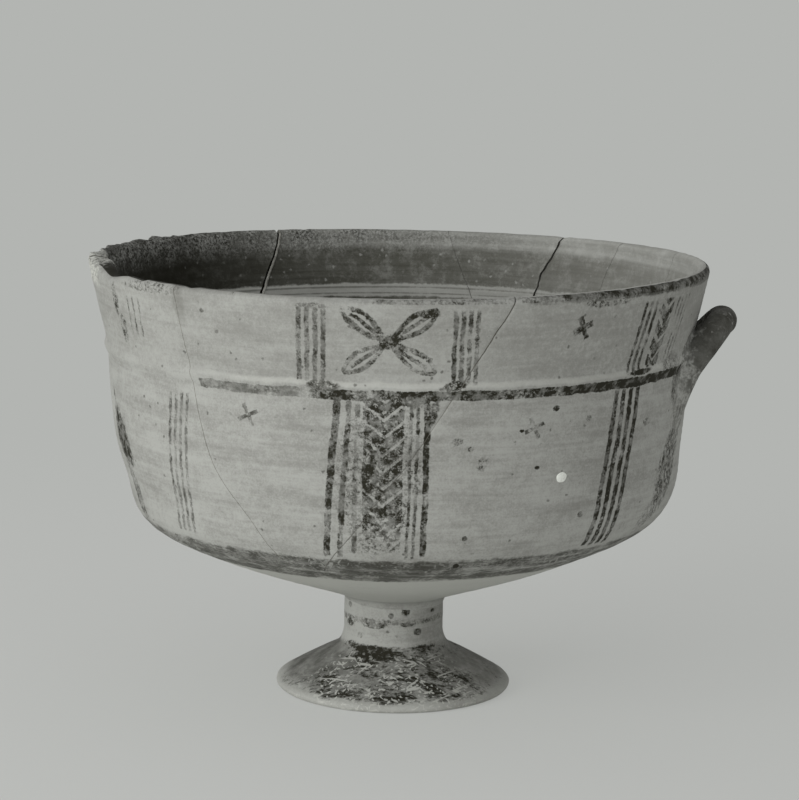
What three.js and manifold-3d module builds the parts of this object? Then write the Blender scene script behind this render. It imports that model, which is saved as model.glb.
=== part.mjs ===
// Footed bowl of painted earthenware, broken and mended: wall and floor sherds with glue in the breaks,
// a thrown pedestal luted to the bowl, and one loop handle luted to the wall.
// Millimetres, +Z up, the resting ring of the foot on z = 0.

import * as THREE from "three";
import { mergeVertices } from "three/addons/utils/BufferGeometryUtils.js";
import Module from "manifold-3d";

const wasm = await Module();
wasm.setup();

// Bowl: outer outline as height and radius, from the seat on the stem to the rim.
const RIM_HEIGHT = 181;
const SEAT_HEIGHT = 39.8;
const BOWL_OUTLINE = [
  [SEAT_HEIGHT, 21.5],
  [44, 32.6],
  [56, 66.4],
  [68, 94],
  [74, 104.8],
  [81, 111],
  [92, 114.7],
  [110, 118],
  [130, 120],
  [148, 121.1],
  [165, 125],
  [RIM_HEIGHT, 128.4],
];
const WALL_THICKNESS = 5;
const FLOOR_THICKNESS = 7;
const SHOULDER_HEIGHT = 84;
const WALL_ROW_HEIGHTS = { aboveRidge: [170, 160], belowRidge: [130, 115, 102, 92, 86, 81.5, 78, 74.5] };
const FLOOR_ROW_HEIGHTS = [62, 54, 46, SEAT_HEIGHT];
const LIP_ROW_ANGLES = [70, 40, 0];

// Raised ridge round the wall.
const RIDGE_HEIGHT = 146.6;
const RIDGE_RISE = 1.2;
const RIDGE_HALF_WIDTH = 2.2;
const RIDGE_ROW_STEPS = [1.9, 0.9, 0, -0.9, -1.9];

// Unevenness of the throwing: the belly and the cone lean to opposite sides, the rim rises at left and right.
const BELLY_LEAN = { shift: 1.8, height: 91, halfWidth: 12 };
const CONE_LEAN = { shift: -1.3, height: 66, halfWidth: 9 };
const RIM_WARP = 0.7;
const RIM_WARP_AZIMUTH = 165;

// Breaks: height and azimuth along each line, from the rim to the floor sherd.
const BREAK_LINES = {
  right: [[181, 17], [165, 19], [140, 23], [105, 25], [70, 24]],
  right_rear: [[181, 37.5], [165, 40.5], [140, 43], [105, 44], [70, 43]],
  rear_right: [[181, 53.5], [165, 57], [140, 60], [105, 61], [70, 59]],
  rear: [[181, 80], [165, 77], [140, 71.5], [105, 70], [70, 72]],
  rear_left: [[181, 117], [165, 119.5], [140, 124], [105, 127], [70, 128]],
  left: [[181, 190], [140, 186], [105, 184], [70, 182]],
  front_left: [[181, 227.7], [157, 228.4], [132, 230.3], [111, 233.4], [90, 240], [70, 248]],
  front: [[181, 290], [165, 286], [145, 280.5], [115, 271], [90, 261], [70, 254]],
};
const WIDE_BREAKS = ["rear_left", "rear_right"];

// Wall sherds: name, the break line where it starts and the one where it stops, going round from +X.
const WALL_SHERDS = [
  ["right_rear", "right", "right_rear"],
  ["rear_right", "right_rear", "rear_right"],
  ["rear", "rear_right", "rear"],
  ["rear_left", "rear", "rear_left"],
  ["left", "rear_left", "left"],
  ["front_left", "left", "front_left"],
  ["front", "front_left", "front"],
  ["right", "front", "right"],
];
const BREAK_GAP = 0.9;
const WIDE_BREAK_GAP = 1.4;
const FLOOR_BREAK_HEIGHT = 70;
const FLOOR_BREAK_WAVES = [
  { rise: 1.6, count: 3, turn: 35 },
  { rise: 0.64, count: 5, turn: 0 },
];
const FLOOR_BREAK_GAP = 1.2;
const GLUE_CLEARANCE = 0.25;
const FLOOR_GLUE_CLEARANCE = 0.35;
const GLUE_RECESS = 0.7;
const GLUE_STOP = 0.85;

// Pedestal: stem, flared foot and the hollow under it.
const STEM_RADIUS = 20.9;
const STEM_CHAMFER = { in: 0.4, down: 1 };
const STEM_FLARE = { top: 25, bendOut: 0.6, bendHeight: 18.6, out: 4.8, height: 16.2 };
const FOOT_RADIUS = 49.4;
const FOOT_EDGE = { height: 3.2, swell: 0.4, shoulderIn: 0.6, shoulderUp: 1.2, topIn: 3.4, topUp: 2 };
const RESTING_RING = { inset: 3.5, width: 6 };
const HOLLOW_HEIGHT = 15;
const PEDESTAL_OFFSET = -0.8;
const PEDESTAL_STEPS = 4;
const LUTING_THICKNESS = 0.8;
const LUTING_INSET = 0.6;
const CONTACT_GAP = 0.3;

// Handle: a round bar through these stations.
// Each is its distance along the wall, its distance from the axis and its height.
const HANDLE_AZIMUTH = -7;
const HANDLE_RADIUS = 5.8;
const HANDLE_HALF_SPAN = 20.5;
const HANDLE_ROOT_RADIUS = 120.6;
const HANDLE_ROOT_HEIGHT = 137.5;
const HANDLE_HALF_PATH = [
  [HANDLE_HALF_SPAN, 110, 129],
  [HANDLE_HALF_SPAN, 117, HANDLE_ROOT_HEIGHT],
  [20, 122.3, 145.7],
  [16.5, 127.2, 152.8],
  [8.4, 132, 158.6],
];
const HANDLE_TIP = [0, 133.8, 160];
const COLLAR_RISE = 5.5;
const COLLAR_HALF_WIDTH = 10.5;
const COLLAR_HALF_HEIGHT = 15;
const TRIM_ROW_HEIGHTS = [100, 110, 120, 130, 140, 143, 145, RIDGE_HEIGHT, 148, 150, 157, 165];
const TRIM_HALF_ANGLE = 40;
const TRIM_ANGLE_STEP = 4;

// Filled hole in the right wall.
const PLUG_RADIUS = 2.25;
const PLUG_AZIMUTH = -57.9;
const PLUG_HEIGHT = 109.8;
const PLUG_SIDES = 16;
const PLUG_SETBACK = 0.02;
const HOLE_OVERRUN = 0.5;

// Facets.
const DEGREES_PER_COLUMN = 6;
const FLOOR_COLUMNS = 60;
const PEDESTAL_COLUMNS = 40;
const BAR_SIDES = 12;
const BAR_STEPS = 26;

const CLAY = { color: 0xa9a79c, roughness: 0.85, metalness: 0 };
const PALE_CLAY = { color: 0xb9b8b0, roughness: 0.9, metalness: 0 };
const DARK_PAINT = { color: 0x5b5a52, roughness: 0.8, metalness: 0 };
const GLUE = { color: 0x8d8a7e, roughness: 0.6, metalness: 0 };
const PLASTER = { color: 0xd8d8d2, roughness: 0.9, metalness: 0 };

const radians = THREE.MathUtils.degToRad;

// Smooth value through [position, value] stations that rise or fall along their positions.
function through(stations, position) {
  const rising = stations[0][0] < stations.at(-1)[0] ? stations : [...stations].reverse();
  const last = rising.length - 1;
  let k = 0;
  while (k < last - 1 && position > rising[k + 1][0]) k += 1;
  const slope = (i) => {
    const before = rising[Math.max(i - 1, 0)];
    const after = rising[Math.min(i + 1, last)];
    return (after[1] - before[1]) / (after[0] - before[0]);
  };
  const span = rising[k + 1][0] - rising[k][0];
  const t = (position - rising[k][0]) / span;
  const straight = THREE.MathUtils.lerp(rising[k][1], rising[k + 1][1], t);
  const chord = (rising[k + 1][1] - rising[k][1]) / span;
  const bend = (slope(k) - chord) * (1 - t) - (slope(k + 1) - chord) * t;
  return straight + bend * t * (1 - t) * span;
}

const bump = (distance, halfWidth) => Math.exp(-((distance / halfWidth) ** 2));

function lean(height) {
  const share = (part) => part.shift * bump(height - part.height, part.halfWidth);
  return share(BELLY_LEAN) + share(CONE_LEAN);
}

function rimWarp(azimuth, height) {
  const around = Math.cos(radians(2 * (azimuth - RIM_WARP_AZIMUTH)));
  return RIM_WARP * around * THREE.MathUtils.smoothstep(height, RIDGE_HEIGHT, RIM_HEIGHT);
}

// Change of the outline's radius for each millimetre of height.
const outlineSlope = (height) => through(BOWL_OUTLINE, height + 0.5) - through(BOWL_OUTLINE, height - 0.5);

// A point of the bowl's wall: depth 0 is the outer face and depth 1 the inner face.
function wallPoint(azimuth, height, depth, proud = 0) {
  const slope = outlineSlope(height);
  const steep = Math.hypot(1, slope);
  const floorShare = 1 - THREE.MathUtils.smoothstep(height, SEAT_HEIGHT, SHOULDER_HEIGHT);
  const inset = depth * THREE.MathUtils.lerp(WALL_THICKNESS, FLOOR_THICKNESS, floorShare) - proud;
  const ridge = (1 - depth) * RIDGE_RISE * bump(height - RIDGE_HEIGHT, RIDGE_HALF_WIDTH);
  const radius = through(BOWL_OUTLINE, height) + ridge - inset / steep;
  return new THREE.Vector3(
    radius * Math.cos(radians(azimuth)) + lean(height),
    radius * Math.sin(radians(azimuth)),
    height + (inset * slope) / steep + rimWarp(azimuth, height),
  );
}

// A closed solid through a row of closed sections of one size, capped or joined end to end.
function loft(sections, joinedRound = false) {
  const positions = [];
  const triangle = (a, b, c) => {
    const flat = a.distanceTo(b) < 1e-6 || b.distanceTo(c) < 1e-6 || c.distanceTo(a) < 1e-6;
    if (!flat) positions.push(...a, ...b, ...c);
  };
  const quad = (a, b, c, d) => {
    const corners = a.distanceTo(c) < b.distanceTo(d) ? [a, b, c, d] : [b, c, d, a];
    triangle(corners[0], corners[1], corners[2]);
    triangle(corners[0], corners[2], corners[3]);
  };
  const size = sections[0].length;
  const spans = joinedRound ? sections.length : sections.length - 1;
  for (let i = 0; i < spans; i += 1) {
    const here = sections[i];
    const next = sections[(i + 1) % sections.length];
    for (let k = 0; k < size; k += 1) {
      const l = (k + 1) % size;
      quad(here[k], here[l], next[l], next[k]);
    }
  }
  if (!joinedRound) {
    const first = sections[0];
    const end = sections.at(-1);
    for (let k = 0; k < size / 2 - 1; k += 1) {
      const opposite = size - 1 - k;
      quad(first[k], first[opposite], first[opposite - 1], first[k + 1]);
      quad(end[k], end[k + 1], end[opposite - 1], end[opposite]);
    }
  }
  return facingOut(positions);
}

function facingOut(positions) {
  const [a, b, c] = [new THREE.Vector3(), new THREE.Vector3(), new THREE.Vector3()];
  let volume = 0;
  for (let k = 0; k < positions.length; k += 9) {
    a.fromArray(positions, k);
    b.fromArray(positions, k + 3);
    c.fromArray(positions, k + 6);
    volume += a.dot(b.cross(c));
  }
  const points = [...positions];
  if (volume < 0) {
    for (let k = 0; k < points.length; k += 9) {
      points.splice(k + 3, 6, ...positions.slice(k + 6, k + 9), ...positions.slice(k + 3, k + 6));
    }
  }
  const geometry = new THREE.BufferGeometry();
  geometry.setAttribute("position", new THREE.Float32BufferAttribute(points, 3));
  geometry.computeVertexNormals();
  return geometry;
}

// Booleans.
function solidOf(geometry) {
  const bare = geometry.clone();
  bare.deleteAttribute("normal");
  bare.deleteAttribute("uv");
  const merged = mergeVertices(bare, 1e-4);
  const triVerts = new Uint32Array(merged.index.array);
  const vertProperties = new Float32Array(merged.attributes.position.array);
  return new wasm.Manifold(new wasm.Mesh({ numProp: 3, vertProperties, triVerts }));
}

function geometryOf(solid) {
  const mesh = solid.getMesh();
  const geometry = new THREE.BufferGeometry();
  geometry.setAttribute("position", new THREE.Float32BufferAttribute(mesh.vertProperties, 3));
  geometry.setIndex([...mesh.triVerts]);
  geometry.computeVertexNormals();
  return geometry;
}

function cut(geometry, ...tools) {
  let solid = solidOf(geometry);
  for (const tool of tools) solid = solid.subtract(solidOf(tool));
  return geometryOf(solid);
}

// Rows of the wall from the lip to the last row above the floor break: height, and how far the lip rounds in.
function wallRows() {
  const lipRadius = WALL_THICKNESS / 2;
  const rows = LIP_ROW_ANGLES.map((angle) => ({
    height: RIM_HEIGHT - lipRadius + lipRadius * Math.sin(radians(angle)),
    rounding: 0.5 - 0.5 * Math.cos(radians(angle)),
  }));
  const ridge = RIDGE_ROW_STEPS.map((step) => RIDGE_HEIGHT + step * RIDGE_HALF_WIDTH);
  const heights = [...WALL_ROW_HEIGHTS.aboveRidge, ...ridge, ...WALL_ROW_HEIGHTS.belowRidge];
  for (const height of heights) rows.push({ height, rounding: 0 });
  return rows;
}

const WALL_ROWS = wallRows();

const breakGap = (name) => (WIDE_BREAKS.includes(name) ? WIDE_BREAK_GAP : BREAK_GAP);

// Azimuth on a break line, moved sideways along the wall by an offset in millimetres.
function breakAzimuth(name, height, offset) {
  const radius = through(BOWL_OUTLINE, height);
  return through(BREAK_LINES[name], height) + THREE.MathUtils.radToDeg(offset / radius);
}

// Height of the wavy break round the floor sherd, moved up the wall by an offset along its slope.
function floorBreakHeight(azimuth, offset) {
  let height = FLOOR_BREAK_HEIGHT + offset / Math.hypot(1, outlineSlope(FLOOR_BREAK_HEIGHT));
  for (const { rise, count, turn } of FLOOR_BREAK_WAVES) {
    height += rise * Math.sin(radians(count * azimuth + turn));
  }
  return height;
}

// One wall sherd between two break lines, the second further round from +X than the first.
function wallSherd(from, to) {
  const turn = to === "right" ? 360 : 0;
  const start = (height) => breakAzimuth(from, height, breakGap(from) / 2);
  const stop = (height) => breakAzimuth(to, height, -breakGap(to) / 2) + turn;
  const widest = Math.max(...[RIM_HEIGHT, FLOOR_BREAK_HEIGHT].map((height) => stop(height) - start(height)));
  const columns = Math.ceil(widest / DEGREES_PER_COLUMN);
  const sections = [];
  for (let i = 0; i <= columns; i += 1) {
    const azimuthAt = (height) => THREE.MathUtils.lerp(start(height), stop(height), i / columns);
    const lowest = azimuthAt(FLOOR_BREAK_HEIGHT);
    const outer = WALL_ROWS.map((row) => wallPoint(azimuthAt(row.height), row.height, row.rounding));
    const inner = WALL_ROWS.map((row) => wallPoint(azimuthAt(row.height), row.height, 1 - row.rounding));
    outer.push(wallPoint(lowest, floorBreakHeight(lowest, FLOOR_BREAK_GAP / 2), 0));
    inner.push(wallPoint(lowest, floorBreakHeight(lowest, FLOOR_BREAK_GAP / 2), 1));
    sections.push([...outer, ...inner.reverse()]);
  }
  return loft(sections);
}

// Glue in one break line of the wall, set back from the faces, the lip and the floor break.
function breakGlue(name) {
  const half = breakGap(name) / 2 - GLUE_CLEARANCE;
  const recess = GLUE_RECESS / WALL_THICKNESS;
  const section = (rowHeight, heightAt) =>
    [[-half, recess], [half, recess], [half, 1 - recess], [-half, 1 - recess]].map(([offset, depth]) => {
      const azimuth = breakAzimuth(name, rowHeight, offset);
      return wallPoint(azimuth, heightAt(azimuth), depth);
    });
  const heights = WALL_ROWS.filter((row) => row.rounding === 0).map((row) => row.height);
  const sections = heights.map((height) => section(height, () => height));
  const bottom = section(FLOOR_BREAK_HEIGHT, (azimuth) => floorBreakHeight(azimuth, FLOOR_BREAK_GAP / 2));
  const stop = sections.at(-1).map((point, k) => point.clone().lerp(bottom[k], GLUE_STOP));
  return loft([...sections, stop]);
}

function floorSherd() {
  const sections = [];
  for (let i = 0; i < FLOOR_COLUMNS; i += 1) {
    const azimuth = (i * 360) / FLOOR_COLUMNS;
    const heights = [floorBreakHeight(azimuth, -FLOOR_BREAK_GAP / 2), ...FLOOR_ROW_HEIGHTS];
    const outer = heights.map((height) => wallPoint(azimuth, height, 0));
    const inner = heights.map((height) => wallPoint(azimuth, height, 1));
    outer.push(new THREE.Vector3(0, 0, SEAT_HEIGHT));
    inner.push(new THREE.Vector3(0, 0, SEAT_HEIGHT + FLOOR_THICKNESS));
    sections.push([...outer, ...inner.reverse()]);
  }
  return loft(sections, true);
}

function floorGlue() {
  const half = FLOOR_BREAK_GAP / 2 - FLOOR_GLUE_CLEARANCE;
  const recess = GLUE_RECESS / WALL_THICKNESS;
  const sections = [];
  for (let i = 0; i < FLOOR_COLUMNS; i += 1) {
    const azimuth = (i * 360) / FLOOR_COLUMNS;
    const upper = floorBreakHeight(azimuth, half);
    const lower = floorBreakHeight(azimuth, -half);
    sections.push([
      wallPoint(azimuth, upper, recess),
      wallPoint(azimuth, upper, 1 - recess),
      wallPoint(azimuth, lower, 1 - recess),
      wallPoint(azimuth, lower, recess),
    ]);
  }
  return loft(sections, true);
}

// Solids turned round the Z axis from a path of radius and height.
function turned(path, divisions) {
  const geometry = new THREE.LatheGeometry(path.getPoints(divisions), PEDESTAL_COLUMNS);
  return geometry.rotateX(Math.PI / 2);
}

function pedestal() {
  const top = SEAT_HEIGHT - 2 * CONTACT_GAP - LUTING_THICKNESS;
  const ringOutside = FOOT_RADIUS - RESTING_RING.inset;
  const ringInside = ringOutside - RESTING_RING.width;
  const edge = FOOT_EDGE.height;
  const flare = STEM_FLARE;
  const outline = new THREE.Path();
  outline.moveTo(0, HOLLOW_HEIGHT);
  outline.quadraticCurveTo(STEM_RADIUS, HOLLOW_HEIGHT, ringInside, 0);
  outline.lineTo(ringOutside, 0);
  outline.quadraticCurveTo(FOOT_RADIUS + FOOT_EDGE.swell, 0, FOOT_RADIUS, edge);
  outline.quadraticCurveTo(
    FOOT_RADIUS - FOOT_EDGE.shoulderIn,
    edge + FOOT_EDGE.shoulderUp,
    FOOT_RADIUS - FOOT_EDGE.topIn,
    edge + FOOT_EDGE.topUp,
  );
  outline.lineTo(STEM_RADIUS + flare.out, flare.height);
  outline.quadraticCurveTo(STEM_RADIUS + flare.bendOut, flare.bendHeight, STEM_RADIUS, flare.top);
  outline.lineTo(STEM_RADIUS, top - STEM_CHAMFER.down);
  outline.lineTo(STEM_RADIUS - STEM_CHAMFER.in, top);
  outline.lineTo(0, top);
  return turned(outline, PEDESTAL_STEPS).translate(PEDESTAL_OFFSET, 0, 0);
}

function footLuting() {
  const top = SEAT_HEIGHT - CONTACT_GAP;
  const outline = new THREE.Path();
  outline.moveTo(0, top - LUTING_THICKNESS);
  outline.lineTo(STEM_RADIUS - LUTING_INSET, top - LUTING_THICKNESS);
  outline.lineTo(STEM_RADIUS - LUTING_INSET, top);
  outline.lineTo(0, top);
  return turned(outline, 1).translate(PEDESTAL_OFFSET / 2, 0, 0);
}

// Handle: loop path in the bowl's frame, with its near arm first.
function handlePath() {
  const station = (side) => ([along, out, height]) => new THREE.Vector3(out, side * along, height);
  const near = HANDLE_HALF_PATH.map(station(-1));
  const far = HANDLE_HALF_PATH.map(station(1)).reverse();
  const points = [...near, station(1)(HANDLE_TIP), ...far];
  const turn = new THREE.Vector3(0, 0, 1);
  for (const point of points) point.applyAxisAngle(turn, radians(HANDLE_AZIMUTH));
  return new THREE.CatmullRomCurve3(points, false, "centripetal");
}

function roundBar(path, radius) {
  const section = new THREE.Shape();
  for (let k = 0; k < BAR_SIDES; k += 1) {
    const angle = (2 * Math.PI * k) / BAR_SIDES;
    const place = [radius * Math.cos(angle), radius * Math.sin(angle)];
    if (k === 0) section.moveTo(...place);
    else section.lineTo(...place);
  }
  section.closePath();
  return new THREE.ExtrudeGeometry(section, { steps: BAR_STEPS, extrudePath: path, bevelEnabled: false });
}

// The bowl's outer face as a filled solid, a little proud, used to trim what is luted on to the wall.
function wallTrimmer() {
  const sections = TRIM_ROW_HEIGHTS.map((height) => {
    const ring = [];
    for (let azimuth = -TRIM_HALF_ANGLE; azimuth <= TRIM_HALF_ANGLE; azimuth += TRIM_ANGLE_STEP) {
      ring.push(wallPoint(HANDLE_AZIMUTH + azimuth, height, 0, CONTACT_GAP));
    }
    ring.push(new THREE.Vector3(0, 0, height));
    ring.push(new THREE.Vector3(0, -1, height));
    return ring;
  });
  return loft(sections);
}

const HANDLE_PATH = handlePath();

function handleLoop() {
  return cut(roundBar(HANDLE_PATH, HANDLE_RADIUS), wallTrimmer());
}

// Clay collar smoothed on to the wall round one root of the handle.
function handleCollar(side) {
  const rootAngle = THREE.MathUtils.radToDeg(Math.asin(HANDLE_HALF_SPAN / HANDLE_ROOT_RADIUS));
  const azimuth = HANDLE_AZIMUTH + side * rootAngle;
  const pad = new THREE.SphereGeometry(1, 2 * BAR_SIDES, BAR_SIDES);
  pad.scale(COLLAR_RISE, COLLAR_HALF_WIDTH, COLLAR_HALF_HEIGHT).rotateZ(radians(azimuth));
  const root = wallPoint(azimuth, HANDLE_ROOT_HEIGHT, 0);
  pad.translate(root.x, root.y, root.z);
  return cut(pad, wallTrimmer(), roundBar(HANDLE_PATH, HANDLE_RADIUS + CONTACT_GAP));
}

// A short cylinder through the wall at the filled hole.
function wallPin(radius, from, to) {
  const start = wallPoint(PLUG_AZIMUTH, PLUG_HEIGHT, from);
  const end = wallPoint(PLUG_AZIMUTH, PLUG_HEIGHT, to);
  const direction = end.clone().sub(start);
  const pin = new THREE.CylinderGeometry(radius, radius, direction.length(), PLUG_SIDES);
  const upright = new THREE.Vector3(0, 1, 0);
  pin.applyQuaternion(new THREE.Quaternion().setFromUnitVectors(upright, direction.clone().normalize()));
  const middle = start.add(end).multiplyScalar(0.5);
  return pin.translate(middle.x, middle.y, middle.z);
}

const vessel = new THREE.Group();

function place(name, geometry, finish) {
  const mesh = new THREE.Mesh(geometry, new THREE.MeshStandardMaterial(finish));
  mesh.name = name;
  vessel.add(mesh);
}

const hole = wallPin(PLUG_RADIUS + CONTACT_GAP, -HOLE_OVERRUN, 1 + HOLE_OVERRUN);
for (const [name, from, to] of WALL_SHERDS) {
  const sherd = wallSherd(from, to);
  const drilled = name === "right" ? cut(sherd, hole) : sherd;
  place(`wall_sherd_${name}`, drilled, CLAY);
}
for (const name of Object.keys(BREAK_LINES)) place(`glue_${name}`, breakGlue(name), GLUE);
place("floor_sherd", floorSherd(), CLAY);
place("glue_floor", floorGlue(), GLUE);
place("pedestal_foot", pedestal(), DARK_PAINT);
place("foot_luting", footLuting(), PALE_CLAY);
place("handle_loop", handleLoop(), DARK_PAINT);
place("handle_collar_near", handleCollar(-1), DARK_PAINT);
place("handle_collar_far", handleCollar(1), DARK_PAINT);
place("plaster_plug", wallPin(PLUG_RADIUS, PLUG_SETBACK, 1 - PLUG_SETBACK), PLASTER);

// The origin is under the middle of the bowl and handle together.
const reach = new THREE.Box3().setFromObject(vessel);
const middle = reach.getCenter(new THREE.Vector3());
vessel.position.set(-middle.x, -middle.y, -reach.min.z);

export default vessel;
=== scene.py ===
"""Finish of a mended, painted earthenware bowl on a stem and foot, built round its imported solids."""

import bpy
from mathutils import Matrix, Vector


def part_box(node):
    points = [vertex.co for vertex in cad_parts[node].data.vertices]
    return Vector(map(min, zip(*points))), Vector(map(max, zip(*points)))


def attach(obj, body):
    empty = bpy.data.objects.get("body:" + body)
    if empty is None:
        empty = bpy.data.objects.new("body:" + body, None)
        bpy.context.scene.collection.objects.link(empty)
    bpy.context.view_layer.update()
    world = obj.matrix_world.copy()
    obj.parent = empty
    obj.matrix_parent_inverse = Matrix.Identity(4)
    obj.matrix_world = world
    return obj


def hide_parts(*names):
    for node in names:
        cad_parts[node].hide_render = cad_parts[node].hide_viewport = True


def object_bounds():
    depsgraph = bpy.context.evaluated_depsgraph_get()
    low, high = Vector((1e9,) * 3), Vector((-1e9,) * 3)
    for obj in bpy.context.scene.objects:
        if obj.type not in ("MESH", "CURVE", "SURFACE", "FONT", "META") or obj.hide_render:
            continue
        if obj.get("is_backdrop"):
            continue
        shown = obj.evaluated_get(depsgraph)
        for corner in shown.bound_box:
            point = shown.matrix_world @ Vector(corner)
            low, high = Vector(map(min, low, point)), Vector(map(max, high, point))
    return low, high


bl_info = {
    "name": "Footed Bowl",
    "version": (1, 0, 0),
    "blender": (4, 5, 0),
    "location": "View3D > Sidebar > Footed Bowl",
    "description": "Builds the sherds, glue, foot, handle and finish of a mended painted bowl",
    "category": "Object",
}

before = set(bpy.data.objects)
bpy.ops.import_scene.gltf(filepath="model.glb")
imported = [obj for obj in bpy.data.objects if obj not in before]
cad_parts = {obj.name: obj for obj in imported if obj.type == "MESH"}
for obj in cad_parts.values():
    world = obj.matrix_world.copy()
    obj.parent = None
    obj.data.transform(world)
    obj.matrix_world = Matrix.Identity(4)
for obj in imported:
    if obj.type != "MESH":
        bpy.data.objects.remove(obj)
cad_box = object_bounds()

import inspect
import math

import bpy
import numpy as np
from bpy.props import FloatProperty, FloatVectorProperty, PointerProperty
from mathutils import Matrix, Vector, noise

MM = 0.001

# The bowl in millimetres from its own axis, with azimuths in degrees from +X, as the solids have it.
RIM_HEIGHT = 181
SEAT_HEIGHT = 39.8
BOWL_OUTLINE = [
    (SEAT_HEIGHT, 21.5),
    (44, 32.6),
    (56, 66.4),
    (68, 94),
    (74, 104.8),
    (81, 111),
    (92, 114.7),
    (110, 118),
    (130, 120),
    (148, 121.1),
    (165, 125),
    (RIM_HEIGHT, 128.4),
]
FLOOR_THICKNESS = 7
SHOULDER_HEIGHT = 84
RIDGE_HEIGHT = 146.6
RIDGE_HALF_WIDTH = 2.2
LEANS = [(1.8, 91, 12), (-1.3, 66, 9)]
RIM_WARP = 0.7
RIM_WARP_AZIMUTH = 165

# Course of each break as (height, azimuth) from the rim down.
BREAK_LINES = {
    "right": [(181, 17), (165, 19), (140, 23), (105, 25), (70, 24)],
    "right_rear": [(181, 37.5), (165, 40.5), (140, 43), (105, 44), (70, 43)],
    "rear_right": [(181, 53.5), (165, 57), (140, 60), (105, 61), (70, 59)],
    "rear": [(181, 80), (165, 77), (140, 71.5), (105, 70), (70, 72)],
    "rear_left": [
        (181, 117),
        (173.5, 117.4),
        (165, 119.2),
        (153, 122.2),
        (140, 124.4),
        (105, 127),
        (70, 128),
    ],
    "left": [(181, 190), (140, 186), (105, 184), (70, 182)],
    "front_left": [(181, 227.7), (157, 228.4), (132, 230.3), (111, 233.4), (90, 240), (70, 248)],
    "front": [(181, 290), (165, 286), (145, 280.5), (115, 271), (90, 261), (70, 254)],
}
# Width of each break at the rim and at the floor, how deep its glue lies, and how ragged it is.
BREAK_LOOKS = {
    "right": (0.2, 0.14, 0.15, 0.25),
    "right_rear": (0.2, 0.16, 0.15, 0.3),
    "rear_right": (1.1, 0.9, 2.0, 0.8),
    "rear": (0.14, 0.4, 0.2, 0.6),
    "rear_left": (2.3, 3.2, 0.4, 0.7),
    "left": (0.45, 0.3, 0.4, 0.5),
    "front_left": (0.24, 0.24, 0.12, 0.12),
    "front": (0.56, 0.11, 0.6, 0.4),
}
# Name of each wall sherd, the breaks it runs between, and how much paler or darker its slip is.
WALL_SHERDS = [
    ("right_rear", "right", "right_rear", 0.03),
    ("rear_right", "right_rear", "rear_right", -0.04),
    ("rear", "rear_right", "rear", 0.05),
    ("rear_left", "rear", "rear_left", -0.02),
    ("left", "rear_left", "left", -0.08),
    ("front_left", "left", "front_left", 0.12),
    ("front", "front_left", "front", 0.02),
    ("right", "front", "right", -0.05),
]
FRONT_SHERDS = ("front_left", "front", "right")
PLUGGED_SHERD = "right"
OPEN_BREAK = "rear_left"
# Places of the finishes on a sherd.
OUTSIDE, INSIDE, BROKEN = 0, 1, 2
FLOOR_BREAK_HEIGHT = 70
FLOOR_BREAK_WAVES = [(1.6, 3, 35), (0.64, 5, 0)]
FLOOR_BREAK_WIDTH = 0.3
FLOOR_ROWS = 26
FLOOR_TONE = 0.5
TURN_COLUMNS = 180
# How far from the axis the innermost points of turned pieces lie, so that no two fall together.
AXIS_GAP = 0.01

STEM_RADIUS = 20.9
FOOT_RADIUS = 49.4
PEDESTAL_OFFSET = -0.8

HANDLE_AZIMUTH = -7
HANDLE_HALF_PATH = [
    (20.5, 110, 129),
    (20.5, 117, 137.5),
    (20, 122.3, 145.7),
    (16.5, 127.2, 152.8),
    (8.4, 132, 158.6),
]
HANDLE_TIP = (0, 133.8, 160)

PLUG_AZIMUTH = -57.9
PLUG_HEIGHT = 109.8

# Camera: place from the bowl's axis in millimetres, and how it looks.
CAMERA_PLACE = (0.5, -1100, 306.45)
CAMERA_PITCH = 9.51
CAMERA_ROLL = 0.77
CAMERA_FOCAL_PIXELS = 2661.5
FRAME_PIXELS = 800
SENSOR_WIDTH = 36

foot_low, foot_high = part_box("pedestal_foot")
AXIS_X = (foot_low.x + foot_high.x) / 2 - PEDESTAL_OFFSET * MM
AXIS_Y = (foot_low.y + foot_high.y) / 2


def size(name, text, millimetres):
    """A length that a user may change."""
    return FloatProperty(
        name=name, description=text, default=millimetres * MM, min=0, unit="LENGTH", precision=5,
    )


def share(name, text, value):
    """A share from nothing to all."""
    return FloatProperty(name=name, description=text, default=value, min=0, max=1.5, subtype="FACTOR")


def lamp_power(name, text, watts):
    """The power of a lamp."""
    return FloatProperty(name=name, description=text, default=watts, min=0, unit="POWER")


def tint(name, text, red, green, blue):
    """A colour, written as the screen shows it, out of 255."""
    linear = [((level / 255 + 0.055) / 1.055) ** 2.4 for level in (red, green, blue)]
    return FloatVectorProperty(
        name=name, description=text, default=linear, size=3, min=0, max=1, subtype="COLOR",
    )


class BowlSizes(bpy.types.PropertyGroup):
    """Sizes of the bowl that the finish may change."""

    wall: size("Wall", "Thickness of the wall at the rim", 5)
    ridge: size("Ridge", "How far the ridge stands out from the wall", 1.2)
    throwing: size("Throwing Rings", "Depth of the rings left by the potter's fingers", 0.07)
    wobble: size("Wobble", "How far the wall strays from round", 0.35)
    rim_lumps: size("Rim Lumps", "Height of the lumps on the damaged left of the rim", 1.8)
    handle_radius: size("Handle Bar", "Radius of the handle's bar", 5.8)
    collar_reach: size("Collar Reach", "How far the clay of a handle root spreads over the wall", 5)
    plug_radius: size("Plug", "Radius of the plaster plug", 2.25)


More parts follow.
